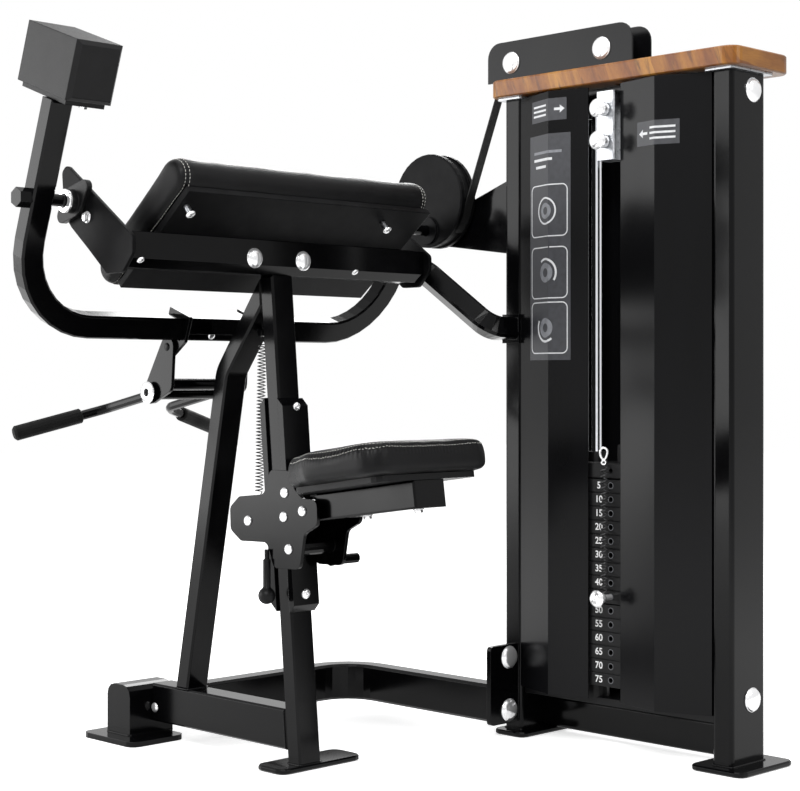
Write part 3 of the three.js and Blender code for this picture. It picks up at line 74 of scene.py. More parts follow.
def place(x: float, y: float, z: float) -> Vector:
    """Turns a place measured from the tower's corner into a place in the row frame.

    Args:
        x: Millimetres to the tower's outer side.
        y: Millimetres away from the user.
        z: Millimetres above the floor.

    Returns:
        The place in metres.
    """
    return Vector(((x + SHIFT_X) * MM, (y + SHIFT_Y) * MM, z * MM))


def linear(hex_colour: str) -> tuple[float, float, float, float]:
    """Turns an sRGB colour such as "a0b1c2" into linear light.

    Args:
        hex_colour: Six hexadecimal digits.

    Returns:
        Red, green, blue and alpha.
    """
    shares = [int(hex_colour[i:i + 2], 16) / 255 for i in (0, 2, 4)]
    red, green, blue = (s / 12.92 if s <= 0.04045 else ((s + 0.055) / 1.055) ** 2.4 for s in shares)
    return (red, green, blue, 1.0)


@dataclass(frozen=True)
class Slope:
    """A flat working frame that runs across the machine and tips down away from the user."""

    y: float
    z: float
    tip: float  # radians

    @property
    def along(self) -> Vector:
        """The way down the slope."""
        return Vector((0, math.cos(self.tip), -math.sin(self.tip)))

    @property
    def up(self) -> Vector:
        """The way straight out of the slope."""
        return Vector((0, math.sin(self.tip), math.cos(self.tip)))

    def at(self, x: float, along: float, up: float) -> Point:
        """A point at x, so far along the slope and so far out of it, in millimetres."""
        return (x, self.y + self.along.y * along + self.up.y * up,
                self.z + self.along.z * along + self.up.z * up)


PAD_SLOPE = Slope(695.0, 1240.0, 0.679)
SEAT_SLOPE = Slope(303.0, 619.0, 0.1396)
YOKE_SLOPE = Slope(885.0, 1172.0, -0.3473)


class Body(Enum):
    """The bodies that pieces ride on, by the record's names."""

    FRAME = "frame"
    CARRIAGE = "carriage"
    ADJUSTER = "adjuster"
    YOKE = "yoke"
    FORK = "fork"
    HANDLE = "handle"
    STACK = "stack"
    PIN = "pin"
    UPPER_KNOB = "increment_upper"
    LOWER_KNOB = "increment_lower"
    NEAR_PULLEY = "pulley_near"
    FAR_PULLEY = "pulley_far"


class Slot(Enum):
    """The record's material slots."""

    GLOSS = "gloss"
    SATIN = "satin"
    CHROME = "chrome"
    STEEL = "steel"
    IRON = "iron"
    VINYL = "vinyl"
    RUBBER = "rubber"
    PLASTIC = "plastic"
    WOOD = "wood"


class Node(Enum):
    """The kinds of shader node in use, by Blender's names."""

    BACKGROUND = "ShaderNodeBackground"
    BEVEL = "ShaderNodeBevel"
    BUMP = "ShaderNodeBump"
    CELLS = "ShaderNodeTexVoronoi"
    COMBINE = "ShaderNodeCombineXYZ"
    COORDINATES = "ShaderNodeTexCoord"
    GEOMETRY = "ShaderNodeNewGeometry"
    LIGHT_PATH = "ShaderNodeLightPath"
    MAPPING = "ShaderNodeMapping"
    MATERIAL_OUTPUT = "ShaderNodeOutputMaterial"
    MATHS = "ShaderNodeMath"
    MIX = "ShaderNodeMix"
    MIX_SHADER = "ShaderNodeMixShader"
    NOISE = "ShaderNodeTexNoise"
    PRINCIPLED = "ShaderNodeBsdfPrincipled"
    RANGE = "ShaderNodeMapRange"
    SEPARATE = "ShaderNodeSeparateXYZ"
    VECTOR_MATHS = "ShaderNodeVectorMath"
    WAVE = "ShaderNodeTexWave"
    WHITE_NOISE = "ShaderNodeTexWhiteNoise"
    WORLD_OUTPUT = "ShaderNodeOutputWorld"


FIRST, SECOND, THIRD = 0, 1, 2  # a maths node's inputs
FACTOR, DARK, LIGHT, MIXED = 0, 6, 7, 2  # a colour mix's inputs and its output
WAVE_LENGTH = FULL_TURN / 20  # from one band of a wave texture to the next at a scale of one
BEVEL_RAYS = 6
FLAT_MATCH, EDGE_MATCH = 0.995, 0.9  # how well the eased normal meets the true one
Span = tuple[float, float]
SPREAD = (0.3, 0.7)  # nearly all of a noise's values
RAISED = (0.35, 0.7)
PATCHY = (0.45, 0.75)  # its upper values alone, with clear ground between them
DUSTY = (0.4, 0.75)


class NodeTree:
    """A node tree that starts empty."""

    def __init__(self, tree: bpy.types.NodeTree) -> None:
        """Empties the tree."""
        self.tree = tree
        tree.nodes.clear()

    def add(self, kind: Node, inputs: Optional[dict[Union[int, str], Any]] = None,
            out: Union[int, str] = 0, **settings: Any) -> Optional[Socket]:
        """Adds a node, sets its settings, and fills or links its inputs.

        Args:
            kind: The kind of node.
            inputs: Values or output sockets, keyed by the input's name or number.
            out: The output to hand back.
            settings: Values set on the node itself.

        Returns:
            That output, or nothing for a node without outputs.
        """
        node = self.tree.nodes.new(kind.value)
        for key, value in settings.items():
            setattr(node, key, value)
        for key, value in (inputs or {}).items():
            if isinstance(value, Socket):
                self.tree.links.new(value, node.inputs[key])
            else:
                node.inputs[key].default_value = value
        return node.outputs[out] if node.outputs else None


class Recipe(NodeTree):
    """One node material while it is being put together. Pattern sizes are in millimetres."""

    def __init__(self, name: str, centre: Point = (0.0, 0.0, 0.0)) -> None:
        """Starts a material.

        Args:
            name: The material's name.
            centre: The pattern's zero point, in metres.
        """
        self.material = bpy.data.materials.new(name)
        self.material.use_nodes = True
        super().__init__(self.material.node_tree)
        self.place = self.add(Node.MAPPING, {
            "Vector": self.add(Node.COORDINATES, out="Object"), "Location": [-c for c in centre]})

    def cloud(self, size: float, span: Span, to: Span = (0.0, 1.0), detail: float = 4.0,
              rough: float = 0.5, vector: Optional[Socket] = None) -> Socket:
        """Cloudy noise, spread from a span of its own values to a chosen one and held at both ends.

        Args:
            size: How wide a blob is, in millimetres.
            span: The noise values that become the lowest and the highest result.
            to: The lowest and the highest result.
            detail: Layers of finer noise.
            rough: How strong the finer layers are.
            vector: The places to draw it at, where they aren't the object's own.

        Returns:
            The result's socket.
        """
        noise = self.add(Node.NOISE, {"Vector": vector or self.place, "Scale": 1 / (size * MM),
                                      "Detail": detail, "Roughness": rough})
        return self.add(Node.RANGE, {"Value": noise, "From Min": span[0], "From Max": span[1],
                                     "To Min": to[0], "To Max": to[1]}, clamp=True)

    def worn_edges(self, width: float, size: float, span: Span) -> Socket:
        """Patches of wear that keep to the sharp edges.

        Args:
            width: How far the wear reaches from an edge.
            size: How long a worn patch is.
            span: The noise values between which the wear sets in.

        Returns:
            One where the surface is worn, and zero elsewhere.
        """
        eased = self.add(Node.BEVEL, {"Radius": width * MM}, samples=BEVEL_RAYS)
        true = self.add(Node.GEOMETRY, out="Normal")
        match = self.add(Node.VECTOR_MATHS, {FIRST: eased, SECOND: true}, "Value", operation="DOT_PRODUCT")
        edge = self.add(Node.RANGE, {"Value": match, "From Min": FLAT_MATCH, "From Max": EDGE_MATCH},
                        clamp=True)
        return self.add(Node.MATHS, {FIRST: edge, SECOND: self.cloud(size, span)}, operation="MULTIPLY")

    def relief(self, height: Socket, depth: float, edge: float = 0.0) -> Socket:
        """Bumps laid over edges that are eased as bent and cut steel is.

        Args:
            height: The bumps' pattern.
            depth: How deep they are.
            edge: The radius of the eased edges, or zero for none.

        Returns:
            The normal's socket.
        """
        inputs = {"Height": height, "Distance": depth * MM, "Strength": 1.0}
        if edge > 0:
            inputs["Normal"] = self.add(Node.BEVEL, {"Radius": edge * MM}, samples=BEVEL_RAYS)
        return self.add(Node.BUMP, inputs)

    def finished(self, **inputs: Any) -> Material:
        """Adds the shader and the output.

        Args:
            inputs: The shader's inputs, with underscores for spaces.

        Returns:
            The material.
        """
        named = {key.replace("_", " "): value for key, value in inputs.items()}
        self.add(Node.MATERIAL_OUTPUT, {"Surface": self.add(Node.PRINCIPLED, named)})
        return self.material


@dataclass(frozen=True)
class PowderCoat:
    """Polyester powder coat on steel tube, sprayed and baked."""

    # A deep gloss black: dark sharp reflections with faint orange peel, and paler rubbed edges.
    name: str
    base: str = "050506"
    dusty: str = "0c0c0e"
    worn: str = "141416"
    shine: Span = (0.1, 0.19)
    peel_mm: float = 2.6
    peel_depth: float = 0.007
    film_mm: float = 160.0
    dust_mm: float = 34.0
    dust_share: float = 0.35
    rub_mm: float = 9.0
    rub_wide: float = 1.1
    rub_span: Span = (0.35, 0.6)
    edge: float = 1.6

    def build(self) -> Material:
        """Returns the material."""
        r = Recipe(self.name)
        peel = r.add(Node.NOISE, {"Vector": r.place, "Scale": 1 / (self.peel_mm * MM), "Detail": 2.0})
        dust = r.add(Node.MATHS, {FIRST: r.cloud(self.dust_mm, PATCHY, detail=6.0, rough=0.6),
                                  SECOND: self.dust_share}, operation="MULTIPLY")
        tint = r.add(Node.MIX, {FACTOR: dust, DARK: linear(self.base), LIGHT: linear(self.dusty)}, MIXED,
                     data_type="RGBA")
        rubbed = r.add(Node.MIX, {FACTOR: r.worn_edges(self.rub_wide, self.rub_mm, self.rub_span),
                                  DARK: tint, LIGHT: linear(self.worn)}, MIXED, data_type="RGBA")
        return r.finished(Base_Color=rubbed, Roughness=r.cloud(self.film_mm, SPREAD, self.shine),
                          Normal=r.relief(peel, self.peel_depth, self.edge), Specular_IOR_Level=0.13)


@dataclass(frozen=True)
class SatinSheet:
    """Satin powder coat on folded sheet steel, sprayed and baked."""

    # Softer reflections than the tubes', with fine grit and long faint streaks from wiping.
    name: str
    base: str = "0a0a0b"
    wiped: str = "0d0d0f"
    shine: Span = (0.19, 0.24)
    streak_mm: float = 180.0
    streak_stretch: float = 0.3
    grit_mm: float = 0.9
    grit_depth: float = 0.01
    edge: float = 1.0

    def build(self) -> Material:
        """Returns the material."""
        r = Recipe(self.name)
        upright = r.add(Node.MAPPING, {"Vector": r.place, "Scale": (1.0, 1.0, self.streak_stretch)})
        streak = r.cloud(self.streak_mm, RAISED, detail=3.0, vector=upright)
        shine = r.cloud(self.streak_mm, SPREAD, self.shine, detail=3.0, vector=upright)
        grit = r.add(Node.NOISE, {"Vector": r.place, "Scale": 1 / (self.grit_mm * MM), "Detail": 2.0})
        tint = r.add(Node.MIX, {FACTOR: streak, DARK: linear(self.base), LIGHT: linear(self.wiped)}, MIXED,
                     data_type="RGBA")
        return r.finished(Base_Color=tint, Roughness=shine, Specular_IOR_Level=0.12,
                          Normal=r.relief(grit, self.grit_depth, self.edge))


@dataclass(frozen=True)
class Chrome:
    """Polished metal, such as chromium plate over nickel or a ground steel rod."""

    # Bright and mirror-like with faint smudges. It is less than fully metallic, so part of its white colour shows as
    # diffuse light: a painted reflection that keeps it from going dark where nothing stands to be mirrored.
    name: str
    base: str = "f7f7f8"
    shine: float = 0.14
    # below one, the white colour shows as diffuse light: painted reflection
    metal: float = 0.62
    smudge_mm: float = 14.0
    smudge: float = 0.12
    wave_mm: float = 5.0
    wave_depth: float = 0.01
    edge: float = 0.6

    def build(self) -> Material:
        """Returns the material."""
        r = Recipe(self.name)
        wave = r.add(Node.NOISE, {"Vector": r.place, "Scale": 1 / (self.wave_mm * MM), "Detail": 1.0})
        shine = r.cloud(self.smudge_mm, PATCHY, (self.shine, self.shine + self.smudge),
                        detail=5.0, rough=0.6)
        return r.finished(Base_Color=linear(self.base), Metallic=self.metal, Roughness=shine,
                          Normal=r.relief(wave, self.wave_depth, self.edge))


@dataclass(frozen=True)
class ZincPlate:
    """Bright zinc electroplate on steel plate and drawn rod."""

    # Greyer than chrome, with a cloudy bloom and fine drawn lines.
    name: str
    base: str = "b9bbbe"
    bloom: str = "8d8f92"
    shine: Span = (0.24, 0.42)
    cloud_mm: float = 11.0
    line_mm: float = 0.8
    line_stretch: float = 0.05
    line_depth: float = 0.012
    edge: float = 0.8

    def build(self) -> Material:
        """Returns the material."""
        r = Recipe(self.name)
        drawn = r.add(Node.MAPPING, {"Vector": r.place, "Scale": (1.0, 1.0, self.line_stretch)})
        lines = r.add(Node.NOISE, {"Vector": drawn, "Scale": 1 / (self.line_mm * MM), "Detail": 2.0})
        tint = r.add(Node.MIX, {FACTOR: r.cloud(self.cloud_mm, RAISED, detail=5.0, rough=0.6),
                                DARK: linear(self.bloom), LIGHT: linear(self.base)}, MIXED,
                     data_type="RGBA")
        return r.finished(Base_Color=tint, Metallic=1.0, Normal=r.relief(lines, self.line_depth, self.edge),
                          Roughness=r.cloud(self.cloud_mm, SPREAD, self.shine, detail=5.0, rough=0.6))


@dataclass(frozen=True)
class CastPaint:
    """Black enamel brushed on cast iron or plate."""

    # A pebbled skin with a dull sheen, going grey where the corners rub.
    name: str
    base: str = "0a0a0b"
    sheen: float = 0.16
    patchy: str = "121213"
    worn: str = "262627"
    shine: Span = (0.34, 0.5)
    pebble_mm: float = 2.2
    pebble_depth: float = 0.06
    patch_mm: float = 40.0
    rub_mm: float = 6.0
    rub_wide: float = 1.4
    rub_span: Span = (0.4, 0.6)
    edge: float = 3.0

    def build(self) -> Material:
        """Returns the material."""
        r = Recipe(self.name)
        pebble = r.add(Node.NOISE, {"Vector": r.place, "Scale": 1 / (self.pebble_mm * MM), "Detail": 4.0,
                                    "Roughness": 0.6})
        tint = r.add(Node.MIX, {FACTOR: r.cloud(self.patch_mm, SPREAD), DARK: linear(self.base),
                                LIGHT: linear(self.patchy)}, MIXED, data_type="RGBA")
        rubbed = r.add(Node.MIX, {FACTOR: r.worn_edges(self.rub_wide, self.rub_mm, self.rub_span),
                                  DARK: tint, LIGHT: linear(self.worn)}, MIXED, data_type="RGBA")
        return r.finished(Base_Color=rubbed, Normal=r.relief(pebble, self.pebble_depth, self.edge),
                          Roughness=r.cloud(self.pebble_mm, SPREAD, self.shine, rough=0.6),
                          Specular_IOR_Level=self.sheen)


@dataclass(frozen=True)
class GrainedVinyl:
    """Upholstery vinyl, embossed with a leather grain."""

    # Fine cells with painted shade in the creases between them, under a soft waxy sheen. Each cell is drawn about
    # twice as coarse as the real grain so that it shows.
    name: str
    # painted shade in the grain's creases
    crease: str = "030304"
    base: str = "09090a"
    waxed: str = "0e0e10"
    shine: Span = (0.3, 0.42)
    grain_mm: float = 1.5
    grain_depth: float = 0.07
    crease_wide: float = 0.16
    warp_mm: float = 4.0
    warp_by: float = 1.1
    wax_mm: float = 46.0
    wax_share: float = 0.4
    pore_mm: float = 0.4
    pore_share: float = 0.25

    def build(self) -> Material:
        """Returns the material."""
        r = Recipe(self.name)
        wander = r.add(Node.NOISE, {"Vector": r.place, "Scale": 1 / (self.warp_mm * MM), "Detail": 2.0},
                       "Color")
        warped = r.add(Node.VECTOR_MATHS, {FIRST: wander, SECOND: [self.warp_by * MM] * 3,
                                           THIRD: r.place}, operation="MULTIPLY_ADD")
        cells = r.add(Node.CELLS, {"Vector": warped, "Scale": 1 / (self.grain_mm * MM)},
                      feature="DISTANCE_TO_EDGE")
        crease = r.add(Node.RANGE, {"Value": cells, "From Min": 0.0, "From Max": self.crease_wide},
                       clamp=True)
        pores = r.add(Node.NOISE, {"Vector": r.place, "Scale": 1 / (self.pore_mm * MM), "Detail": 2.0})
        height = r.add(Node.MATHS, {FIRST: pores, SECOND: self.pore_share, THIRD: crease},
                       operation="MULTIPLY_ADD")
        # the creases are painted darker: painted shade
        tint = r.add(Node.MIX, {FACTOR: crease, DARK: linear(self.crease), LIGHT: linear(self.base)}, MIXED,
                     data_type="RGBA")
        wax = r.add(Node.MATHS, {FIRST: r.cloud(self.wax_mm, DUSTY, detail=3.0),
                                 SECOND: self.wax_share}, operation="MULTIPLY")
        waxed = r.add(Node.MIX, {FACTOR: wax, DARK: tint, LIGHT: linear(self.waxed)}, MIXED,
                      data_type="RGBA")
        return r.finished(Base_Color=waxed, Roughness=r.cloud(self.wax_mm, SPREAD, self.shine, detail=3.0),
                          Normal=r.relief(height, self.grain_depth), Sheen_Weight=0.05,
                          Sheen_Roughness=0.4, Specular_IOR_Level=0.12)


@dataclass(frozen=True)
class WovenBelt:
    """Flat lift belt: a rubber cover moulded over cords."""

    # Matt black with fine ribs along it and dusty grey patches.
    name: str
    base: str = "0b0b0b"
    dusty: str = "232323"
    shine: Span = (0.55, 0.75)
    rib_mm: float = 0.75
    rib_depth: float = 0.08
    rib_wander: float = 0.4
    dust_mm: float = 9.0
    dust_share: float = 0.6
    centre: Point = (36.0, 344.0, 1542.0)

    def build(self) -> Material:
        """Returns the material."""
        r = Recipe(self.name, place(*self.centre))
        ribs = r.add(Node.WAVE, {"Vector": r.place, "Scale": WAVE_LENGTH / (self.rib_mm * MM),
                                 "Distortion": self.rib_wander, "Detail": 1.0}, "Fac",
                     wave_type="BANDS", bands_direction="X")
        dust = r.cloud(self.dust_mm, DUSTY, detail=5.0)
        share = r.add(Node.MATHS, {FIRST: dust, SECOND: self.dust_share}, operation="MULTIPLY")
        tint = r.add(Node.MIX, {FACTOR: share, DARK: linear(self.base), LIGHT: linear(self.dusty)}, MIXED,
                     data_type="RGBA")
        rough = r.add(Node.RANGE, {"Value": dust, "To Min": self.shine[0], "To Max": self.shine[1]})
        return r.finished(Base_Color=tint, Roughness=rough, Normal=r.relief(ribs, self.rib_depth),
                          Specular_IOR_Level=0.25)


@dataclass(frozen=True)
class FoamGrip:
    """Rubber grip, moulded with a fine pebble."""

    # Matt black with painted shade in the pebble's pits, slightly polished where palms have held it.
    name: str
    # painted shade in the pebble's pits
    pit_shade: str = "040404"
    base: str = "0b0b0b"
    shine: Span = (0.5, 0.72)
    pebble_mm: float = 1.1
    pebble_depth: float = 0.12
    palm_mm: float = 55.0

    def build(self) -> Material:
        """Returns the material."""
        r = Recipe(self.name)
        pebble = r.add(Node.CELLS, {"Vector": r.place, "Scale": 1 / (self.pebble_mm * MM)},
                       feature="SMOOTH_F1")
        # the pits are painted darker: painted shade
        tint = r.add(Node.MIX, {FACTOR: pebble, DARK: linear(self.pit_shade), LIGHT: linear(self.base)}, MIXED,
                     data_type="RGBA")
        shine = r.cloud(self.palm_mm, SPREAD, self.shine, detail=2.0)
        return r.finished(Base_Color=tint, Roughness=shine, Normal=r.relief(pebble, self.pebble_depth),
                          Sheen_Weight=0.03, Specular_IOR_Level=0.12)


@dataclass(frozen=True)
class MouldedPlastic:
    """ABS, injection-moulded in a spark-eroded tool."""

    # Even, slightly grey black with a very fine texture.
    name: str
    base: str = "070708"
    pale: str = "0e0e0f"
    shine: Span = (0.34, 0.5)
    spark_mm: float = 0.7
    spark_depth: float = 0.04
    cloud_mm: float = 80.0
    edge: float = 0.8

    def build(self) -> Material:
        """Returns the material."""
        r = Recipe(self.name)
        spark = r.add(Node.NOISE, {"Vector": r.place, "Scale": 1 / (self.spark_mm * MM), "Detail": 4.0,
                                   "Roughness": 0.7})
        cloud = r.add(Node.NOISE, {"Vector": r.place, "Scale": 1 / (self.cloud_mm * MM), "Detail": 3.0})
        tint = r.add(Node.MIX, {FACTOR: cloud, DARK: linear(self.base), LIGHT: linear(self.pale)}, MIXED,
                     data_type="RGBA")
        return r.finished(Base_Color=tint, Normal=r.relief(spark, self.spark_depth, self.edge),
                          Roughness=r.cloud(self.spark_mm, SPREAD, self.shine, rough=0.7),
                          Specular_IOR_Level=0.14)


@dataclass(frozen=True)
class Timber:
    """Hardwood staves glued side by side, sanded and oiled."""

    # Golden brown with umber streaks under a satin oil. The staves run from front to back, so the
    # long edge shows their ends as upright streaks. The streaks are drawn coarse enough to show.
    name: str
    golden: str = "b9802f"
    brown: str = "7d4616"
    streak: str = "42200a"
    pore: str = "3c1d0b"
    dark_stave: str = "b07c48"
    shine: Span = (0.28, 0.45)
    stave_mm: float = 38.0
    slant: float = 0.35  # radians that the growth rings lean
    wander_mm: float = 90.0
    wander_share: float = 0.5  # of a stave that its edge wanders by
    first_stave: float = 40.0
    slide: Span = (3.0, 0.7)  # how far the figure shifts from stave to stave, in metres
    broad_mm: float = 30.0
    broad_span: Span = (0.32, 0.66)
    streak_mm: float = 14.0
    streak_span: Span = (0.54, 0.72)
    streak_share: float = 0.75
    fibre_mm: float = 1.6
    pore_span: Span = (0.5, 0.8)
    pore_share: float = 0.35
    pore_height: float = 0.5
    pore_depth: float = 0.06
    shine_span: Span = (0.3, 0.8)
    tone_share: float = 0.7
    edge: float = 2.5
    centre: Point = (77.0, 314.0, 1480.0)
    long: Point = (0.12, 1.0, 0.2)  # how the figure is drawn out along each axis
    longest: Point = (0.04, 1.0, 0.16)

    @staticmethod
    def _streaks(r: Recipe, places: Socket, size: float, span: Span, share: float,
                 rough: float, warp: float) -> Socket:
        """Draws long cloudy streaks, slightly warped.

        Args:
            r: The material.
            places: The drawn-out places.
            size: How wide a streak is, in millimetres.
            span: The noise values between which a streak sets in.
            share: How strong the streaks are.
            rough: How strong the finer layers are.
            warp: How much the streaks wander.

        Returns:
            The streaks' socket.
        """
        noise = r.add(Node.NOISE, {"Vector": places, "Scale": 1 / (size * MM), "Detail": 4.0,
                                   "Roughness": rough, "Distortion": warp})
        spread = r.add(Node.RANGE, {"Value": noise, "From Min": span[0], "From Max": span[1]}, clamp=True)
        return r.add(Node.MATHS, {FIRST: spread, SECOND: share}, operation="MULTIPLY")

    def build(self) -> Material:
        """Returns the material."""
        r = Recipe(self.name, place(*self.centre))
        slanted = r.add(Node.MAPPING, {"Vector": r.place, "Rotation": (self.slant, 0.0, 0.0)})
        y = r.add(Node.SEPARATE, {0: slanted}, "Y")
        wander = r.add(Node.NOISE, {"Vector": r.place, "Scale": 1 / (self.wander_mm * MM), "Detail": 2.0})
        staves = r.add(Node.MATHS, {FIRST: y, SECOND: self.stave_mm * MM}, operation="DIVIDE")
        across = r.add(Node.MATHS, {FIRST: wander, SECOND: self.wander_share, THIRD: staves},
                       operation="MULTIPLY_ADD")
        number = r.add(Node.MATHS, {FIRST: r.add(Node.MATHS, {FIRST: across, SECOND: self.first_stave})},
                       operation="FLOOR")
        seed = r.add(Node.WHITE_NOISE, {"W": number}, noise_dimensions="1D")
        slide = r.add(Node.COMBINE, {
            "X": r.add(Node.MATHS, {FIRST: seed, SECOND: self.slide[0]}, operation="MULTIPLY"),
            "Y": r.add(Node.MATHS, {FIRST: number, SECOND: self.slide[1]}, operation="MULTIPLY")})
        moved = r.add(Node.VECTOR_MATHS, {FIRST: slanted, SECOND: slide})
        figure = r.add(Node.MAPPING, {"Vector": moved, "Scale": self.long})
        fibres = r.add(Node.MAPPING, {"Vector": moved, "Scale": self.longest})
        broad = self._streaks(r, figure, self.broad_mm, self.broad_span, 1.0, rough=0.55, warp=0.6)
        dark = self._streaks(r, figure, self.streak_mm, self.streak_span, self.streak_share, rough=0.6,
                             warp=0.5)
        tint = r.add(Node.MIX, {FACTOR: broad, DARK: linear(self.brown), LIGHT: linear(self.golden)},
                     MIXED, data_type="RGBA")
        tint = r.add(Node.MIX, {FACTOR: dark, DARK: tint, LIGHT: linear(self.streak)}, MIXED,
                     data_type="RGBA")
        fibre = r.add(Node.NOISE, {"Vector": fibres, "Scale": 1 / (self.fibre_mm * MM), "Detail": 3.0,
                                   "Roughness": 0.6})
        pores = r.cloud(self.fibre_mm, self.pore_span, (0.0, self.pore_share), detail=3.0, rough=0.6,
                        vector=fibres)
        tint = r.add(Node.MIX, {FACTOR: pores, DARK: tint, LIGHT: linear(self.pore)}, MIXED,
                     data_type="RGBA")
        tone = r.add(Node.MIX, {FACTOR: seed, DARK: linear(self.dark_stave), LIGHT: linear("ffffff")},
                     MIXED, data_type="RGBA")
        tint = r.add(Node.MIX, {FACTOR: self.tone_share, DARK: tint, LIGHT: tone}, MIXED, data_type="RGBA",
                     blend_type="MULTIPLY")
        depth = r.add(Node.MATHS, {FIRST: fibre, SECOND: -self.pore_height}, operation="MULTIPLY")
        return r.finished(Base_Color=tint, Normal=r.relief(depth, self.pore_depth, self.edge),
                          Roughness=r.cloud(self.fibre_mm, self.shine_span, self.shine, detail=3.0,
                                            rough=0.6, vector=fibres),
                          Coat_Weight=0.1, Coat_Roughness=0.25, Specular_IOR_Level=0.3)


@dataclass(frozen=True)
class Printed:
    """Polyester foil, ink, thread or cord jacket in one colour."""

    # Flat colour with slight unevenness and a soft gloss.
    name: str
    base: str
    shade: str
    rough: float = 0.4
    patch_mm: float = 12.0
    unevenness: float = 0.12
    grit_mm: float = 0.6
    grit_depth: float = 0.01

    def build(self) -> Material:
        """Returns the material."""
        r = Recipe(self.name)
        tint = r.add(Node.MIX, {FACTOR: r.cloud(self.patch_mm, SPREAD), DARK: linear(self.base),
                                LIGHT: linear(self.shade)}, MIXED, data_type="RGBA")
        grit = r.add(Node.NOISE, {"Vector": r.place, "Scale": 1 / (self.grit_mm * MM), "Detail": 2.0})
        shine = r.cloud(self.patch_mm, SPREAD, (self.rough, self.rough + self.unevenness))
        return r.finished(Base_Color=tint, Roughness=shine, Normal=r.relief(grit, self.grit_depth))


class Finish(Enum):
    """Every finish on the machine."""

    GLOSS_COAT = PowderCoat("gloss_powder_coat")
    SATIN_COAT = SatinSheet("satin_powder_coat")
    CHROME = Chrome("chromium_plate")
    GROUND_STEEL = Chrome("ground_steel", "dfe1e4", 0.08, 1.0)
    ZINC = ZincPlate("zinc_plated_steel")
    CAST_PAINT = CastPaint("painted_cast_iron")
    # a darker, less reflective copy of the cast paint for parts that read darker than their paint: painted shade
    SHADED_DULL_PAINT = CastPaint("shaded_black_paint", "050506", 0.05)
    VINYL = GrainedVinyl("grained_vinyl")
    BELT = WovenBelt("corded_belt_rubber")
    GRIP = FoamGrip("grip_rubber")
    PLASTIC = MouldedPlastic("moulded_plastic")
    WOOD = Timber("oiled_hardwood")
    FOIL = Printed("label_foil", "26272b", "34353a")
    INK = Printed("label_ink", "e9eaec", "d5d6d8")
    GREY_INK = Printed("label_grey", "8b8d92", "75777c")
    THREAD = Printed("stitch_thread", "f1f0ea", "c9c8c2", 0.7, 1.5)
    NUMBER_PAINT = Printed("plate_numbers", "ffffff", "f2f2f2")
    CORD_JACKET = Printed("cord_jacket", "3a3a3c", "1c1c1d", 0.3, 3.0)


SLOT_FINISH = {
    Slot.GLOSS: Finish.GLOSS_COAT, Slot.SATIN: Finish.SATIN_COAT, Slot.CHROME: Finish.CHROME,
    Slot.STEEL: Finish.ZINC, Slot.IRON: Finish.CAST_PAINT, Slot.VINYL: Finish.VINYL,
    Slot.RUBBER: Finish.GRIP, Slot.PLASTIC: Finish.PLASTIC, Slot.WOOD: Finish.WOOD,
}
NODE_FINISH = {
    "lift_belt_top": Finish.BELT, "lift_belt_drop": Finish.BELT, "lift_belt_lower": Finish.BELT,
    "increment_housing": Finish.ZINC, "pivot_shaft_left": Finish.GLOSS_COAT,
    "pivot_shaft_right": Finish.GLOSS_COAT, "guide_rod_near": Finish.GROUND_STEEL,
    "guide_rod_far": Finish.GROUND_STEEL, "seat_spring": Finish.GLOSS_COAT,
    # the pad's board, the cam and the pivot brackets get the darker copy of the paint: painted shade
    "arm_pad_board": Finish.SHADED_DULL_PAINT, "cam": Finish.SHADED_DULL_PAINT,
    "pivot_bracket_left": Finish.SHADED_DULL_PAINT, "pivot_bracket_right": Finish.SHADED_DULL_PAINT,
}


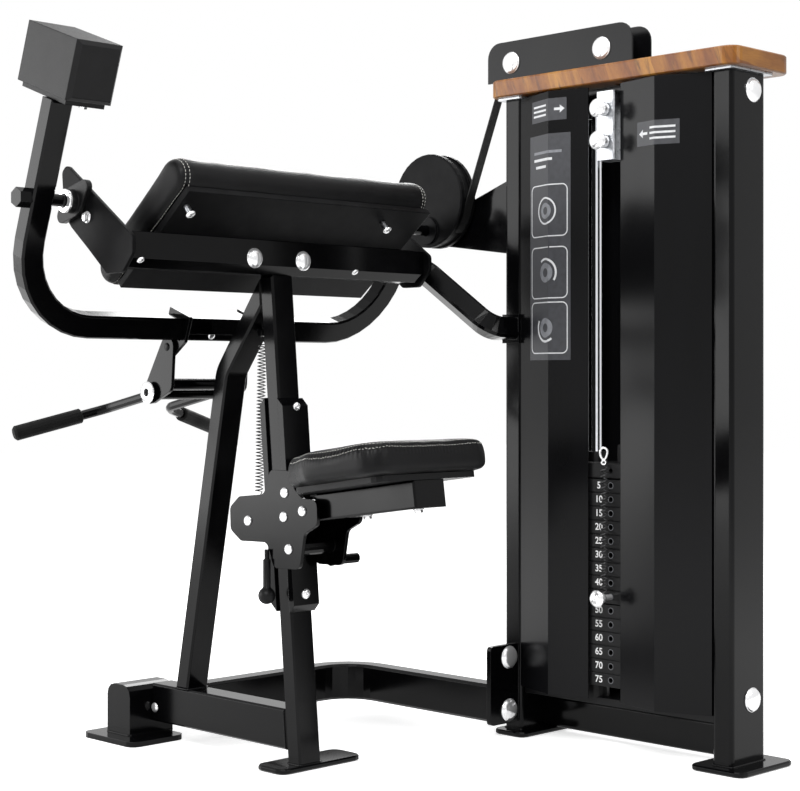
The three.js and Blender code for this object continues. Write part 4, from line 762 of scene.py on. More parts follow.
class Maker:
    """Turns finished mesh code into dressed pieces that ride on a body."""

    def __init__(self) -> None:
        """Makes every finish once."""
        self.finishes = {finish: finish.value.build() for finish in Finish}

    def dress_frame(self) -> None:
        """Gives every carried-over node its finish."""
        for part in frame["record"]["subparts"]:
            finish = NODE_FINISH.get(part["node"], SLOT_FINISH[Slot(part["material_slot"])])
            mesh = frame["nodes"][part["node"]].data
            for i in range(len(mesh.materials)):
                mesh.materials[i] = self.finishes[finish]

    def piece(self, bm: Mesh, name: str, finish: Finish, body: Body,
              smooth_degrees: float = 35.0) -> Piece:
        """Makes an object of a mesh in place.

        Args:
            bm: The mesh, already where it belongs. It is freed.
            name: The piece's name.
            finish: Its finish.
            body: The body that it rides on.
            smooth_degrees: Edges flatter than this are shaded smooth.

        Returns:
            The new object.
        """
        bmesh.ops.recalc_face_normals(bm, faces=bm.faces)
        mesh = bpy.data.meshes.new(name)
        bm.to_mesh(mesh)
        bm.free()
        mesh.materials.append(self.finishes[finish])
        mesh.shade_smooth()
        mesh.set_sharp_from_angle(angle=math.radians(smooth_degrees))
        obj = put(name, mesh)
        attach(obj, body.value)
        return obj

    def fasteners(self, name: str, body: Body, items: Iterable["Fastener"], finish: Finish = Finish.CHROME) -> Piece:
        """Makes bolt heads or caps that look alike as one piece.

        Args:
            name: The piece's name.
            body: The body that it rides on.
            items: The heads and caps.
            finish: Their finish.

        Returns:
            The new object.
        """
        return self.piece(merge(item.mesh() for item in items), name, finish, body, ROUNDED)

    def ring(self, name: str, body: Body, at: Point, facing: Vector, profile: Sequence[Point],
             finish: Finish = Finish.CHROME) -> Piece:
        """Makes a turned ring or knob.

        Args:
            name: The piece's name.
            body: The body that it rides on.
            at: Where the profile's zero height is, in millimetres.
            facing: The way its axis points.
            profile: Radius and height of each point, in millimetres.
            finish: Its finish.

        Returns:
            The new object.
        """
        loop = list(profile) + ([profile[0]] if profile[0][0] > 0 else [])
        bm = stand(lathe(loop, RING_STEPS), place(*at), facing)
        return self.piece(bm, name, finish, body)

    def weld(self, name: str, corners: Sequence[Point], radius: float = 2.6,
             closed: bool = True) -> Piece:
        """Makes the rippled bead of weld round a joint of the frame.

        Args:
            name: The piece's name.
            corners: The joint's corners, in millimetres.
            radius: The bead's radius, in millimetres.
            closed: Whether the last corner joins the first.

        Returns:
            The new object.
        """
        ends = [place(*corner) for corner in corners]
        path: list[Vector] = []
        for a, b in zip(ends, ends[1:] + (ends[:1] if closed else [])):
            way = (b - a).normalized()
            straight = (b - a).length - 2 * WELD_TRIM * MM
            steps = max(2, int(straight / (WELD_STEP * MM)))
            path += [a + way * (WELD_TRIM * MM + straight * i / steps) for i in range(steps + 1)]
        radii = [radius * MM * (1 + WELD_RIPPLE * math.sin(i * WELD_BEAT)) for i in range(len(path))]
        return self.piece(solid_tube(path, radii, 8, closed), name, Finish.GLOSS_COAT, Body.FRAME,
                          ALL_SMOOTH)


RING_STEPS = 40
ALL_SMOOTH, ROUNDED, FOLDED = 80.0, 40.0, 30.0  # degrees under which an edge is shaded smooth
WELD_TRIM = 3.0  # how far from a corner the straight run stops
WELD_STEP = 2.0
WELD_RIPPLE, WELD_BEAT = 0.22, 1.9  # share of the radius, and radians from one point to the next


def put(name: str, data: Any) -> Piece:
    """Puts a mesh, curve, light or camera in the scene as an unturned object at the origin."""
    obj = bpy.data.objects.new(name, data)
    bpy.context.scene.collection.objects.link(obj)
    return obj


def mesh_of(data: Any) -> Mesh:
    """Turns a curve or text into a mesh.

    Args:
        data: The curve or text. It is deleted.

    Returns:
        The mesh.
    """
    obj = put("made", data)
    bpy.context.view_layer.update()
    mesh = bpy.data.meshes.new_from_object(obj.evaluated_get(bpy.context.evaluated_depsgraph_get()))
    bpy.data.objects.remove(obj)
    bpy.data.curves.remove(data)
    bm = bmesh.new()
    bm.from_mesh(mesh)
    bpy.data.meshes.remove(mesh)
    return bm


def round_curve(name: str, path: Sequence[Vector], sides: int) -> bpy.types.Curve:
    """A curve through points, ready to carry a round section.

    Args:
        name: The curve's name.
        path: The points, in metres.
        sides: Faces round the section, an even number.

    Returns:
        The curve, without a thickness.
    """
    curve = bpy.data.curves.new(name, "CURVE")
    curve.dimensions = "3D"
    curve.bevel_resolution = (sides - 4) // 2
    curve.use_fill_caps = True
    points = curve.splines.new("POLY").points
    points.add(len(path) - 1)
    for point, at in zip(points, path):
        point.co = (*at, 1.0)
    return curve


def solid_tube(path: Sequence[Vector], radii: Sequence[float], sides: int,
               closed: bool) -> Mesh:
    """Carries a round section along a path.

    Args:
        path: Points in metres.
        radii: The section's radius at each point, in metres.
        sides: Faces round the section, an even number.
        closed: Whether the last point joins the first.

    Returns:
        The closed mesh.
    """
    curve = round_curve("tube", path, sides)
    curve.bevel_depth = 1.0
    curve.splines[0].use_cyclic_u = closed
    for point, radius in zip(curve.splines[0].points, radii):
        point.radius = radius
    bm = mesh_of(curve)
    bmesh.ops.remove_doubles(bm, verts=bm.verts, dist=SAME_PLACE)
    return bm


SAME_PLACE = 1e-6  # metres


def lathe(profile: Iterable[Point], steps: int = 32) -> Mesh:
    """Spins a profile about the z axis.

    Args:
        profile: Radius and height of each point, in millimetres.
        steps: Faces round the axis.

    Returns:
        The closed mesh, in metres.
    """
    bm = bmesh.new()
    verts = [bm.verts.new((r * MM, 0.0, h * MM)) for r, h in profile]
    edges = [bm.edges.new(pair) for pair in zip(verts, verts[1:])]
    bmesh.ops.spin(bm, geom=verts + edges, cent=(0, 0, 0), axis=UP, angle=FULL_TURN, steps=steps,
                   use_merge=True)
    bmesh.ops.remove_doubles(bm, verts=bm.verts, dist=SAME_PLACE)
    return bm


def stand(bm: Mesh, at: Vector, facing: Vector, turn: float = 0.0) -> Mesh:
    """Turns a mesh made about the z axis so that it faces a way, and puts it in place.

    Args:
        bm: The mesh.
        at: Where its origin goes, in metres.
        facing: The way its z axis points.
        turn: How far it is turned about that axis, in radians.

    Returns:
        The same mesh.
    """
    faced = UP.rotation_difference(facing.normalized()).to_matrix().to_4x4()
    bmesh.ops.transform(bm, matrix=Matrix.Translation(at) @ faced @ Matrix.Rotation(turn, 4, "Z"),
                        verts=bm.verts)
    return bm


def merge(meshes: Iterable[Mesh]) -> Mesh:
    """Puts several meshes into one.

    Args:
        meshes: The meshes. They are freed.

    Returns:
        The new mesh.
    """
    whole = bmesh.new()
    for bm in meshes:
        carrier = bpy.data.meshes.new("carrier")
        bm.to_mesh(carrier)
        bm.free()
        whole.from_mesh(carrier)
        bpy.data.meshes.remove(carrier)
    return whole


class Head(Enum):
    """How a fastener's head looks."""

    DOME = "domed chrome cap over the nut"
    BUTTON = "button head with a socket"
    HEXAGON = "hexagon head on a washer"


@dataclass(frozen=True)
class Fastener:
    """One bolt head or cap: where it sits, which way it faces and its radius, in millimetres.

    The profiles below are shares of the radius, out from the axis and up from the seat.
    """

    at: Point
    facing: Vector
    radius: float
    head: Head = Head.DOME
    turn: float = 0.3

    DOME_RIM: ClassVar[Sequence[Point]] = ((0, 0), (1, 0), (1, 0.05), (0.98, 0.08), (0.95, 0.09))
    DOME_WIDE: ClassVar[float] = 0.94
    DOME_FOOT: ClassVar[float] = 0.1
    DOME_HIGH: ClassVar[float] = 0.34
    BUTTON_RIM: ClassVar[Sequence[Point]] = ((0, 0), (1, 0), (1, 0.12))
    BUTTON_FOOT: ClassVar[float] = 0.12
    BUTTON_HIGH: ClassVar[float] = 0.5
    SOCKET: ClassVar[Sequence[Point]] = ((0.38, 0.58), (0.34, 0.56), (0.34, 0.3), (0, 0.26))
    WASHER: ClassVar[Sequence[Point]] = ((0, 0), (1, 0), (1, 0.1), (0.95, 0.14), (0, 0.14))
    NUT_RADIUS: ClassVar[float] = 0.78
    NUT_HIGH: ClassVar[float] = 0.55
    NUT_MIDDLE: ClassVar[float] = 0.41
    NUT_BEVEL: ClassVar[float] = 0.09
    ARC_STEPS: ClassVar[int] = 8
    SOCKET_STEP: ClassVar[int] = 7  # where the button's arc ends at its socket

    def _arc(self, wide: float, foot: float, high: float, steps: int) -> list[Point]:
        """Returns the first steps of a quarter ellipse that rises from a foot."""
        turns = [QUARTER_TURN * i / self.ARC_STEPS for i in range(steps)]
        return [(wide * math.cos(turn), foot + high * math.sin(turn)) for turn in turns]

    def _turned(self, shares: Sequence[Point], steps: int) -> Mesh:
        """Returns the lathed form of a profile given in shares of the radius."""
        return lathe([(self.radius * out, self.radius * up) for out, up in shares], steps)

    def _nut(self) -> Mesh:
        """Returns the hexagon with its upper rim bevelled."""
        bm = bmesh.new()
        size = self.radius * MM
        bmesh.ops.create_cone(bm, cap_ends=True, segments=6, radius1=self.NUT_RADIUS * size,
                              radius2=self.NUT_RADIUS * size, depth=self.NUT_HIGH * size)
        rim = [e for e in bm.edges if all(v.co.z > 0 for v in e.verts)]
        bmesh.ops.bevel(bm, geom=rim, offset=self.NUT_BEVEL * size, segments=2, profile=0.5,
                        affect="EDGES", material=-1)
        bmesh.ops.translate(bm, vec=UP * (self.NUT_MIDDLE * size), verts=bm.verts)
        return bm

    def mesh(self) -> Mesh:
        """Returns the head's mesh in place."""
        if self.head is Head.DOME:
            dome = self._arc(self.DOME_WIDE, self.DOME_FOOT, self.DOME_HIGH, self.ARC_STEPS)
            top = (0, self.DOME_FOOT + self.DOME_HIGH)
            bm = self._turned([*self.DOME_RIM, *dome, top], 32)
        elif self.head is Head.BUTTON:
            button = self._arc(1.0, self.BUTTON_FOOT, self.BUTTON_HIGH, self.SOCKET_STEP)
            bm = self._turned([*self.BUTTON_RIM, *button, *self.SOCKET], 24)
        else:
            bm = merge([self._turned(self.WASHER, 24), self._nut()])
        return stand(bm, place(*self.at), self.facing, self.turn)


@dataclass
class Tower:
    """The weight tower's bolt caps and welds, and the plate that closes the back of its slot."""

    cap_radius: float = 26.0
    cap_high: float = 1420.0
    cap_low: float = 144.0
    near_cap_high_x: float = 75.0
    near_cap_low_x: float = 72.0
    far_cap_x: float = 60.0
    post_wide: float = 120.0
    post_deep: float = 50.0
    deep: float = 627.0
    foot_thick: float = 12.0
    lug_cap_x: float = -32.7
    lug_y: float = 585.0
    lug_cap_high: float = 181.0
    lug_cap_low: float = 60.5
    lug_low: float = 34.0
    lug_high: float = 207.0
    lug_bead: float = 2.0
    plate_front: float = 92.0
    plate_thick: float = 3.0
    plate_near: float = 352.0
    plate_far: float = 452.0
    plate_low: float = 85.6
    plate_high: float = 1404.4
    plate_fold: float = 8.0

    def _caps(self, maker: Maker) -> Piece:
        """Makes the large domed caps."""
        places = [
            ((self.near_cap_high_x, 0.0, self.cap_high), TO_USER),
            ((self.near_cap_low_x, 0.0, self.cap_low), TO_USER),
            ((self.far_cap_x, self.deep, self.cap_high), FROM_USER),
            ((self.far_cap_x, self.deep, self.cap_low), FROM_USER),
            ((self.lug_cap_x, self.lug_y, self.lug_cap_high), TO_USER),
            ((self.lug_cap_x, self.lug_y, self.lug_cap_low), TO_USER)]
        return maker.fasteners("tower_bolt_caps", Body.FRAME, [
            Fastener(at, facing, self.cap_radius) for at, facing in places])

    def _back_plate(self, maker: Maker) -> Piece:
        """Makes the plate with both long edges folded forward."""
        x0, x1 = self.plate_front, self.plate_front + self.plate_thick
        y0, y1, thick = self.plate_near, self.plate_far, self.plate_thick
        fold = x0 - self.plate_fold
        section = [(fold, y0), (fold, y0 + thick), (x0, y0 + thick), (x0, y1 - thick), (fold, y1 - thick),
                   (fold, y1), (x1, y1), (x1, y0)]
        bm = bmesh.new()
        face = bm.faces.new([bm.verts.new(place(x, y, self.plate_low)) for x, y in section])
        lifted = bmesh.ops.extrude_face_region(bm, geom=[face])["geom"]
        bmesh.ops.translate(bm, vec=UP * ((self.plate_high - self.plate_low) * MM),
                            verts=[g for g in lifted if isinstance(g, bmesh.types.BMVert)])
        return maker.piece(bm, "slot_back_plate", Finish.SATIN_COAT, Body.FRAME, FOLDED)

    def build(self, maker: Maker) -> list[Piece]:
        """Makes the caps, the beads of weld and the plate."""
        near, far = self.post_deep, self.deep - self.post_deep
        return [
            self._caps(maker),
            maker.weld("weld_near_post", level_loop(0, self.post_wide, 0, near, self.foot_thick)),
            maker.weld("weld_far_post", level_loop(0, self.post_wide, far, self.deep, self.foot_thick)),
            maker.weld("weld_lug_plate", [(0, self.lug_y, self.lug_low), (0, self.lug_y, self.lug_high)],
                       self.lug_bead, closed=False),
            self._back_plate(maker)]


def level_loop(x0: float, x1: float, y0: float, y1: float, z: float) -> list[Point]:
    """The four corners of a level rectangle, in millimetres."""
    return [(x0, y0, z), (x1, y0, z), (x1, y1, z), (x0, y1, z)]


def upright_loop(y0: float, y1: float, z0: float, z1: float, x: float) -> list[Point]:
    """The four corners of an upright rectangle that faces the user's side, in millimetres."""
    return [(x, y0, z0), (x, y0, z1), (x, y1, z1), (x, y1, z0)]


@dataclass
class BeltDrive:
    """The domed caps on the axles of the two top pulleys."""

    cap_radius: float = 25.0
    inner_x: float = 0.6
    outer_x: float = 71.4
    near_y: float = 344.0
    far_y: float = 608.0
    axle_z: float = 1542.0

    def build(self, maker: Maker) -> list[Piece]:
        """Makes two caps for each pulley."""
        return [maker.fasteners(name, body, [
            Fastener((self.inner_x, y, self.axle_z), LEFT, self.cap_radius),
            Fastener((self.outer_x, y, self.axle_z), RIGHT, self.cap_radius)])
            for name, body, y in (("near_pulley_caps", Body.NEAR_PULLEY, self.near_y),
                                  ("far_pulley_caps", Body.FAR_PULLEY, self.far_y))]


@dataclass
class Stack:
    """The weight stack's white numbers, the rings round its pin holes and its domed knob caps."""

    plates: int = 15
    lifted: int = 9
    step: float = 5.0  # the number on each plate over the one above it
    low: float = 143.3
    pitch: float = 30.3
    face_x: float = -14.1
    hole_y: float = 306.2
    hole_up: float = 15.0
    number_y: float = 339.0
    number_up: float = 8.0
    number_size: float = 21.0
    number_thick: float = 0.15
    number_bold: float = 0.35
    ring_inner: float = 6.2
    ring_outer: float = 7.1
    ring_thick: float = 0.2
    knob_x: float = -62.2
    knob_radius: float = 20.0
    upper_knob: float = 1400.0
    lower_knob: float = 1330.0
    pin_radius: float = 18.5
    pin_z: float = 340.1

    def _digits(self, number: int, low: float) -> Mesh:
        """Makes one plate's number, which faces the user's side.

        Args:
            number: The plate's place from the top.
            low: The height of its underside, in millimetres.

        Returns:
            The thin mesh.
        """
        data = bpy.data.curves.new("digits", "FONT")
        data.body = f"{self.step * number:.0f}"
        data.size = self.number_size * MM
        data.align_x = "CENTER"
        data.extrude = self.number_thick * MM
        data.offset = self.number_bold * MM
        bm = mesh_of(data)
        facing = Matrix.Rotation(-QUARTER_TURN, 4, "Z") @ Matrix.Rotation(QUARTER_TURN, 4, "X")
        at = place(self.face_x, self.number_y, low + self.number_up)
        bmesh.ops.transform(bm, matrix=Matrix.Translation(at) @ facing, verts=bm.verts)
        return bm

    def _hole_ring(self, low: float) -> Mesh:
        """Returns the thin ring round one plate's pin hole."""
        inner, outer, thick = self.ring_inner, self.ring_outer, self.ring_thick
        profile = [(inner, 0), (outer, 0), (outer, thick), (inner, thick), (inner, 0)]
        return stand(lathe(profile, 28), place(self.face_x, self.hole_y, low + self.hole_up), LEFT)

    def _cap(self, maker: Maker, name: str, body: Body, z: float, radius: float) -> Piece:
        """Makes the domed cap on a knob's end."""
        return maker.fasteners(name, body, [Fastener((self.knob_x, self.hole_y, z), LEFT, radius)])

    def build(self, maker: Maker) -> list[Piece]:
        """Makes the numbers and rings of the lifted and the resting plates, and the caps."""
        made = []
        for body, numbers in ((Body.STACK, range(1, self.lifted + 1)),
                              (Body.FRAME, range(self.lifted + 1, self.plates + 1))):
            lows = [self.low + (self.plates - number) * self.pitch for number in numbers]
            digits = merge(self._digits(number, low) for number, low in zip(numbers, lows))
            holes = merge(self._hole_ring(low) for low in lows)
            made += [maker.piece(bm, f"{name}_{body.value}", finish, body, FOLDED)
                     for bm, name, finish in ((digits, "plate_numbers", Finish.NUMBER_PAINT),
                                              (holes, "hole_rings", Finish.GREY_INK))]
        return made + [
            self._cap(maker, "upper_knob_cap", Body.UPPER_KNOB, self.upper_knob, self.knob_radius),
            self._cap(maker, "lower_knob_cap", Body.LOWER_KNOB, self.lower_knob, self.knob_radius),
            self._cap(maker, "pin_cap", Body.PIN, self.pin_z, self.pin_radius)]


@dataclass
class Lanyard:
    """The curly cord from the head plate down to the selector pin, with its snap hook."""

    x: float = -26.0
    y: float = 315.0
    top: float = 625.8
    low: float = 340.5
    anchor_x: float = -15.8
    curl_radius: float = 6.5
    curls: int = 22
    points_a_curl: int = 16
    thick: float = 3.0
    hook_across: Point = (-0.6, 0.8, 0.0)
    hook_shift: Point = (1.0, 2.0)
    hook_z: float = 652.0
    hook_wide: float = 7.6
    hook_tear: float = 0.3  # how much wider the hook is at its top than in its middle
    hook_high: float = 13.0
    hook_wire: float = 2.4
    hook_points: int = 40
    eye_wide: float = 4.2
    eye_high: float = 4.6
    eye_drop: float = 19.0
    eye_wire: float = 2.0
    eye_points: int = 20

    def path(self) -> list[Vector]:
        """Returns the cord's own line, in metres."""
        tail = self.thick
        line = [place(self.anchor_x, self.y, self.top), place(self.x, self.y, self.top)]
        wound = self.top - self.low - 2 * tail
        steps = self.curls * self.points_a_curl
        for i in range(steps + 1):
            turn = FULL_TURN * i / self.points_a_curl
            line.append(place(self.x + self.curl_radius * math.cos(turn),
                              self.y - self.curl_radius * math.sin(turn),
                              self.top - tail - wound * i / steps))
        return line + [place(self.x, self.y, self.low), place(self.x, self.y, self.low - tail)]

    def _cord(self, maker: Maker) -> Piece:
        """Makes the cord as a round curve in the node's stead."""
        path = self.path()
        curve = round_curve("curly_cord", path, 10)
        curve.bevel_depth = self.thick / 2 * MM
        curve.materials.append(maker.finishes[Finish.CORD_JACKET])
        cord = put("curly_cord", curve)
        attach(cord, Body.STACK.value)
        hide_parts("pin_lanyard")
        return cord

    def _hook(self, maker: Maker) -> Piece:
        """Makes the snap hook: a tear-shaped loop with a small eye under it, on the first curl."""
        across = Vector(self.hook_across)
        middle = place(self.x + self.hook_shift[0], self.y + self.hook_shift[1], self.hook_z)
        loop, eye = [], []
        for i in range(self.hook_points):
            turn = FULL_TURN * i / self.hook_points
            wide = self.hook_wide * math.cos(turn) * (1 + self.hook_tear * math.sin(turn))
            loop.append(middle + (across * wide + UP * (self.hook_high * math.sin(turn))) * MM)
        for i in range(self.eye_points):
            turn = FULL_TURN * i / self.eye_points
            eye.append(middle + (across * (self.eye_wide * math.cos(turn))
                                 + UP * (self.eye_high * math.sin(turn) - self.eye_drop)) * MM)
        bm = merge([solid_tube(loop, [self.hook_wire * MM] * len(loop), 10, True),
                    solid_tube(eye, [self.eye_wire * MM] * len(eye), 8, True)])
        return maker.piece(bm, "snap_hook", Finish.CHROME, Body.STACK, ALL_SMOOTH)

    def build(self, maker: Maker) -> list[Piece]:
        """Makes the cord and its hook."""
        return [self._cord(maker), self._hook(maker)]


@dataclass
class UserFrame:
    """The user's side: bolts of beam, guide strips and base, the bearings' collars and the welds."""

    tube_half: float = 30.0
    beam_cap_x: Sequence[float] = (-680.0, -545.0)
    beam_cap_radius: float = 21.0
    beam_front: float = 716.0
    beam_z: float = 1066.0
    bead_cap_x: Sequence[float] = (-970.0, -389.0)
    bead_cap_y: float = 719.4
    bead_cap_z: float = 1049.0
    bead_cap_radius: float = 8.0
    beam_chamfer: Point = (0.0, -0.669, -0.743)  # the way the beam's lower face looks
    post_y: float = 650.0
    post_z: float = 61.0
    lean: float = 81 / 921  # how far the front post leans back for each unit of rise
    strip_out: float = 16.3
    strip_bolts: Sequence[Point] = ((-583.0, 757.0, 9.0), (-588.0, 365.5, 11.0))  # x, height, radius
    base_bolt_y: float = 1139.0
    base_bolt_left: Point = (-616.0, 70.0)
    base_bolt_right: Point = (-556.0, 72.0)
    base_bolt_radius: float = 11.0
    bearing_bolt_x: Sequence[float] = (-1004.6, -167.4)
    bearing_bolt_y: float = 850.0
    bearing_bolt_z: float = 1139.0
    bearing_bolt_radius: float = 12.0
    collar_x: Sequence[float] = (-1030.9, -141.1)
    collar: Sequence[Point] = ((13.6, 0), (23.4, 0), (24, 0.8), (24, 5), (22.6, 6.4), (15, 7.2), (13.6, 6.4))
    foot_thick: float = 12.0
    post_deep: float = 40.0
    stand_x: Sequence[float] = (-677.0, -556.0)
    stand_y: Sequence[float] = (1151.0, 1236.0)
    rear_y: Sequence[float] = (1022.0, 1064.6)
    rear_z: float = 124.0
    thin_bead: float = 2.2
    base_end: Sequence[Point] = ((691.3, 41.0), (698.5, 122.0))  # y and z of the base tube's front end
    curved_y: Sequence[float] = (1056.0, 1104.0)
    curved_z: Sequence[float] = (42.0, 122.0)
    neck_x: float = -9.0
    neck_y: Sequence[float] = (578.0, 626.0)
    neck_z: Sequence[float] = (906.0, 954.0)

    def _on_strip(self, x: float, z: float) -> Point:
        """Returns a point on the front guide strip's outer face, in millimetres."""
        back = self.lean * (z - self.post_z) - self.strip_out * math.hypot(1, self.lean)
        return (x, self.post_y + back, z)

    def _bolts(self, maker: Maker) -> list[Piece]:
        """Makes the caps and bolts."""
        chamfer, square = Vector(self.beam_chamfer), Vector((0.0, -1.0, -self.lean))
        caps = [Fastener((x, self.beam_front, self.beam_z), TO_USER, self.beam_cap_radius)
                for x in self.beam_cap_x]
        caps += [Fastener((x, self.bead_cap_y, self.bead_cap_z), chamfer, self.bead_cap_radius)
                 for x in self.bead_cap_x]
        strip = [Fastener(self._on_strip(x, z), square, radius, Head.BUTTON)
                 for x, z, radius in self.strip_bolts]
        base = [Fastener((x, self.base_bolt_y, z), way, self.base_bolt_radius)
                for (x, z), way in ((self.base_bolt_left, LEFT), (self.base_bolt_right, RIGHT))]
        bearings = [Fastener((x, self.bearing_bolt_y, self.bearing_bolt_z), way, self.bearing_bolt_radius,
                             Head.HEXAGON) for x, way in zip(self.bearing_bolt_x, (LEFT, RIGHT))]
        return [maker.fasteners("beam_bolt_caps", Body.FRAME, caps),
                maker.fasteners("guide_strip_bolts", Body.FRAME, strip),
                maker.fasteners("base_bolts", Body.FRAME, base),
                maker.fasteners("bearing_bolts", Body.FRAME, bearings)]

    def _welds(self, maker: Maker) -> list[Piece]:
        """Makes the beads of weld."""
        left, right = CENTRE_X - self.tube_half, CENTRE_X + self.tube_half
        front = self.post_y + self.lean * (self.foot_thick - self.post_z)
        (low_y, low_z), (high_y, high_z) = self.base_end
        base = [(left, low_y, low_z), (left, high_y, high_z), (right, high_y, high_z), (right, low_y, low_z)]
        loops = {
            "weld_rear_post": level_loop(left, right, *self.rear_y, self.rear_z), "weld_base_tube": base,
            "weld_curved_tube": upright_loop(*self.curved_y, *self.curved_z, right),
            "weld_swan_neck": upright_loop(*self.neck_y, *self.neck_z, self.neck_x)}
        return [
            maker.weld("weld_post_front", level_loop(left, right, front, front + self.post_deep,
                                                     self.foot_thick)),
            maker.weld("weld_rear_stand", level_loop(*self.stand_x, *self.stand_y, self.foot_thick)),
            *(maker.weld(name, corners, self.thin_bead) for name, corners in loops.items())]

    def build(self, maker: Maker) -> list[Piece]:
        """Makes the bolts, the collars and the beads of weld."""
        collars = [maker.ring(f"bearing_collar_{side}", Body.FRAME, (x, YOKE_SLOPE.y, YOKE_SLOPE.z), way,
                              self.collar)
                   for side, x, way in zip(("left", "right"), self.collar_x, (LEFT, RIGHT))]
        return self._bolts(maker) + collars + self._welds(maker)


@dataclass
class Cushion:
    """A stuffed vinyl pad: the CAD pad's skin, swelled by cloth under air pressure and then sewn.

    Lengths are in millimetres.
    """

    name: str
    node: str
    body: Body
    board: Vector  # a point on the board below, in metres
    up: Vector
    seams: Callable[[Vector], float]
    voxel: float
    cap: float  # how far any point may swell
    shrink: float  # how much smaller than its room the skin starts
    eases: int = 6
    calm: int = 24  # rounds that spread each point's swelling to its neighbours
    steps: int = 20
    stretch: float = 30.0
    shear: float = 12.0
    bend: float = 2.0
    pressure: float = 4.0
    quality: int = 4
    fill: float = 0.85

    def _base(self) -> Piece:
        """Returns a copy of the pad's own skin, a little smaller than its room."""
        mesh = frame["nodes"][self.node].data.copy()
        places = [v.co.copy() for v in mesh.vertices]
        centre = sum(places, Vector()) / len(places)
        size = [max(p[i] for p in places) - min(p[i] for p in places) for i in range(3)]
        scale = 1 - self.shrink * MM / max(size)
        flatten = min(0.5, self.shrink * MM / min(size))
        for vert, at in zip(mesh.vertices, places):
            away = at - centre
            vert.co = centre + away * scale - self.up * (away.dot(self.up) * flatten)
        return put(self.name, mesh)

    @staticmethod
    def _apply(obj: Piece) -> None:
        """Bakes the object's modifiers into its mesh."""
        graph = bpy.context.evaluated_depsgraph_get()
        baked = bpy.data.meshes.new_from_object(obj.evaluated_get(graph))
        obj.modifiers.clear()
        obj.data = baked

    def _even(self, obj: Piece) -> None:
        """Gives the skin even faces and eases their steps.

        Args:
            obj: The skin.
        """
        remesh = obj.modifiers.new("even", "REMESH")
        remesh.mode = "VOXEL"
        remesh.voxel_size = self.voxel * MM
        ease = obj.modifiers.new("ease", "SMOOTH")
        ease.factor = 0.5
        ease.iterations = self.eases
        self._apply(obj)

    def _swollen(self, obj: Piece) -> list[Vector]:
        """Runs the cloth under pressure.

        Args:
            obj: The skin. It is left as it was.

        Returns:
            Where each of its points ends up.
        """
        cloth = obj.modifiers.new("swell", "CLOTH")
        cloth.settings.quality = self.quality
        cloth.settings.tension_stiffness = self.stretch
        cloth.settings.compression_stiffness = self.stretch
        cloth.settings.shear_stiffness = self.shear
        cloth.settings.bending_stiffness = self.bend
        cloth.settings.use_pressure = True
        cloth.settings.uniform_pressure_force = self.pressure
        cloth.settings.effector_weights.gravity = 0.0
        cloth.point_cache.frame_start, cloth.point_cache.frame_end = 1, self.steps
        for number in range(1, self.steps + 1):
            bpy.context.scene.frame_set(number)
        graph = bpy.context.evaluated_depsgraph_get()
        places = [v.co.copy() for v in obj.evaluated_get(graph).data.vertices]
        obj.modifiers.clear()
        bpy.context.scene.frame_set(1)
        return places

    def _swell(self, obj: Piece) -> None:
        """Swells the skin, without creases, and holds how far each point may move.

        Args:
            obj: The skin.
        """
        rest = [v.co.copy() for v in obj.data.vertices]
        moves = [new - old for old, new in zip(rest, self._swollen(obj))]
        neighbours: list[list[int]] = [[] for _ in rest]
        for edge in obj.data.edges:
            a, b = edge.vertices
            neighbours[a].append(b)
            neighbours[b].append(a)
        for _ in range(self.calm):
            moves = [(move + sum((moves[j] for j in near), Vector()) / len(near)) / 2
                     for move, near in zip(moves, neighbours)]
        for vert, old, move in zip(obj.data.vertices, rest, moves):
            vert.co = old + move * min(1.0, self.cap * MM / max(move.length, SAME_PLACE))

    def _seat(self, obj: Piece) -> None:
        """Flattens what would sink into the board below."""
        for vert in obj.data.vertices:
            over = (vert.co - self.board).dot(self.up)
            if over < 0:
                vert.co -= self.up * over

    def _sew(self, obj: Piece) -> None:
        """Draws the skin in along the seams."""
        obj.data.update()
        normals = [vert.normal.copy() for vert in obj.data.vertices]
        for vert, normal in zip(obj.data.vertices, normals):
            vert.co -= normal * self.seams(vert.co)

    def build(self, maker: Maker) -> Piece:
        """Makes the cushion and puts it in the node's stead."""
        obj = self._base()
        self._even(obj)
        self._swell(obj)
        self._seat(obj)
        smooth = obj.modifiers.new("smooth", "SUBSURF")
        smooth.levels = smooth.render_levels = 1
        self._apply(obj)
        self._sew(obj)
        self._seat(obj)
        obj.data.materials.clear()
        obj.data.materials.append(maker.finishes[Finish.VINYL])
        obj.data.shade_smooth()
        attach(obj, self.body.value)
        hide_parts(self.node)
        return obj


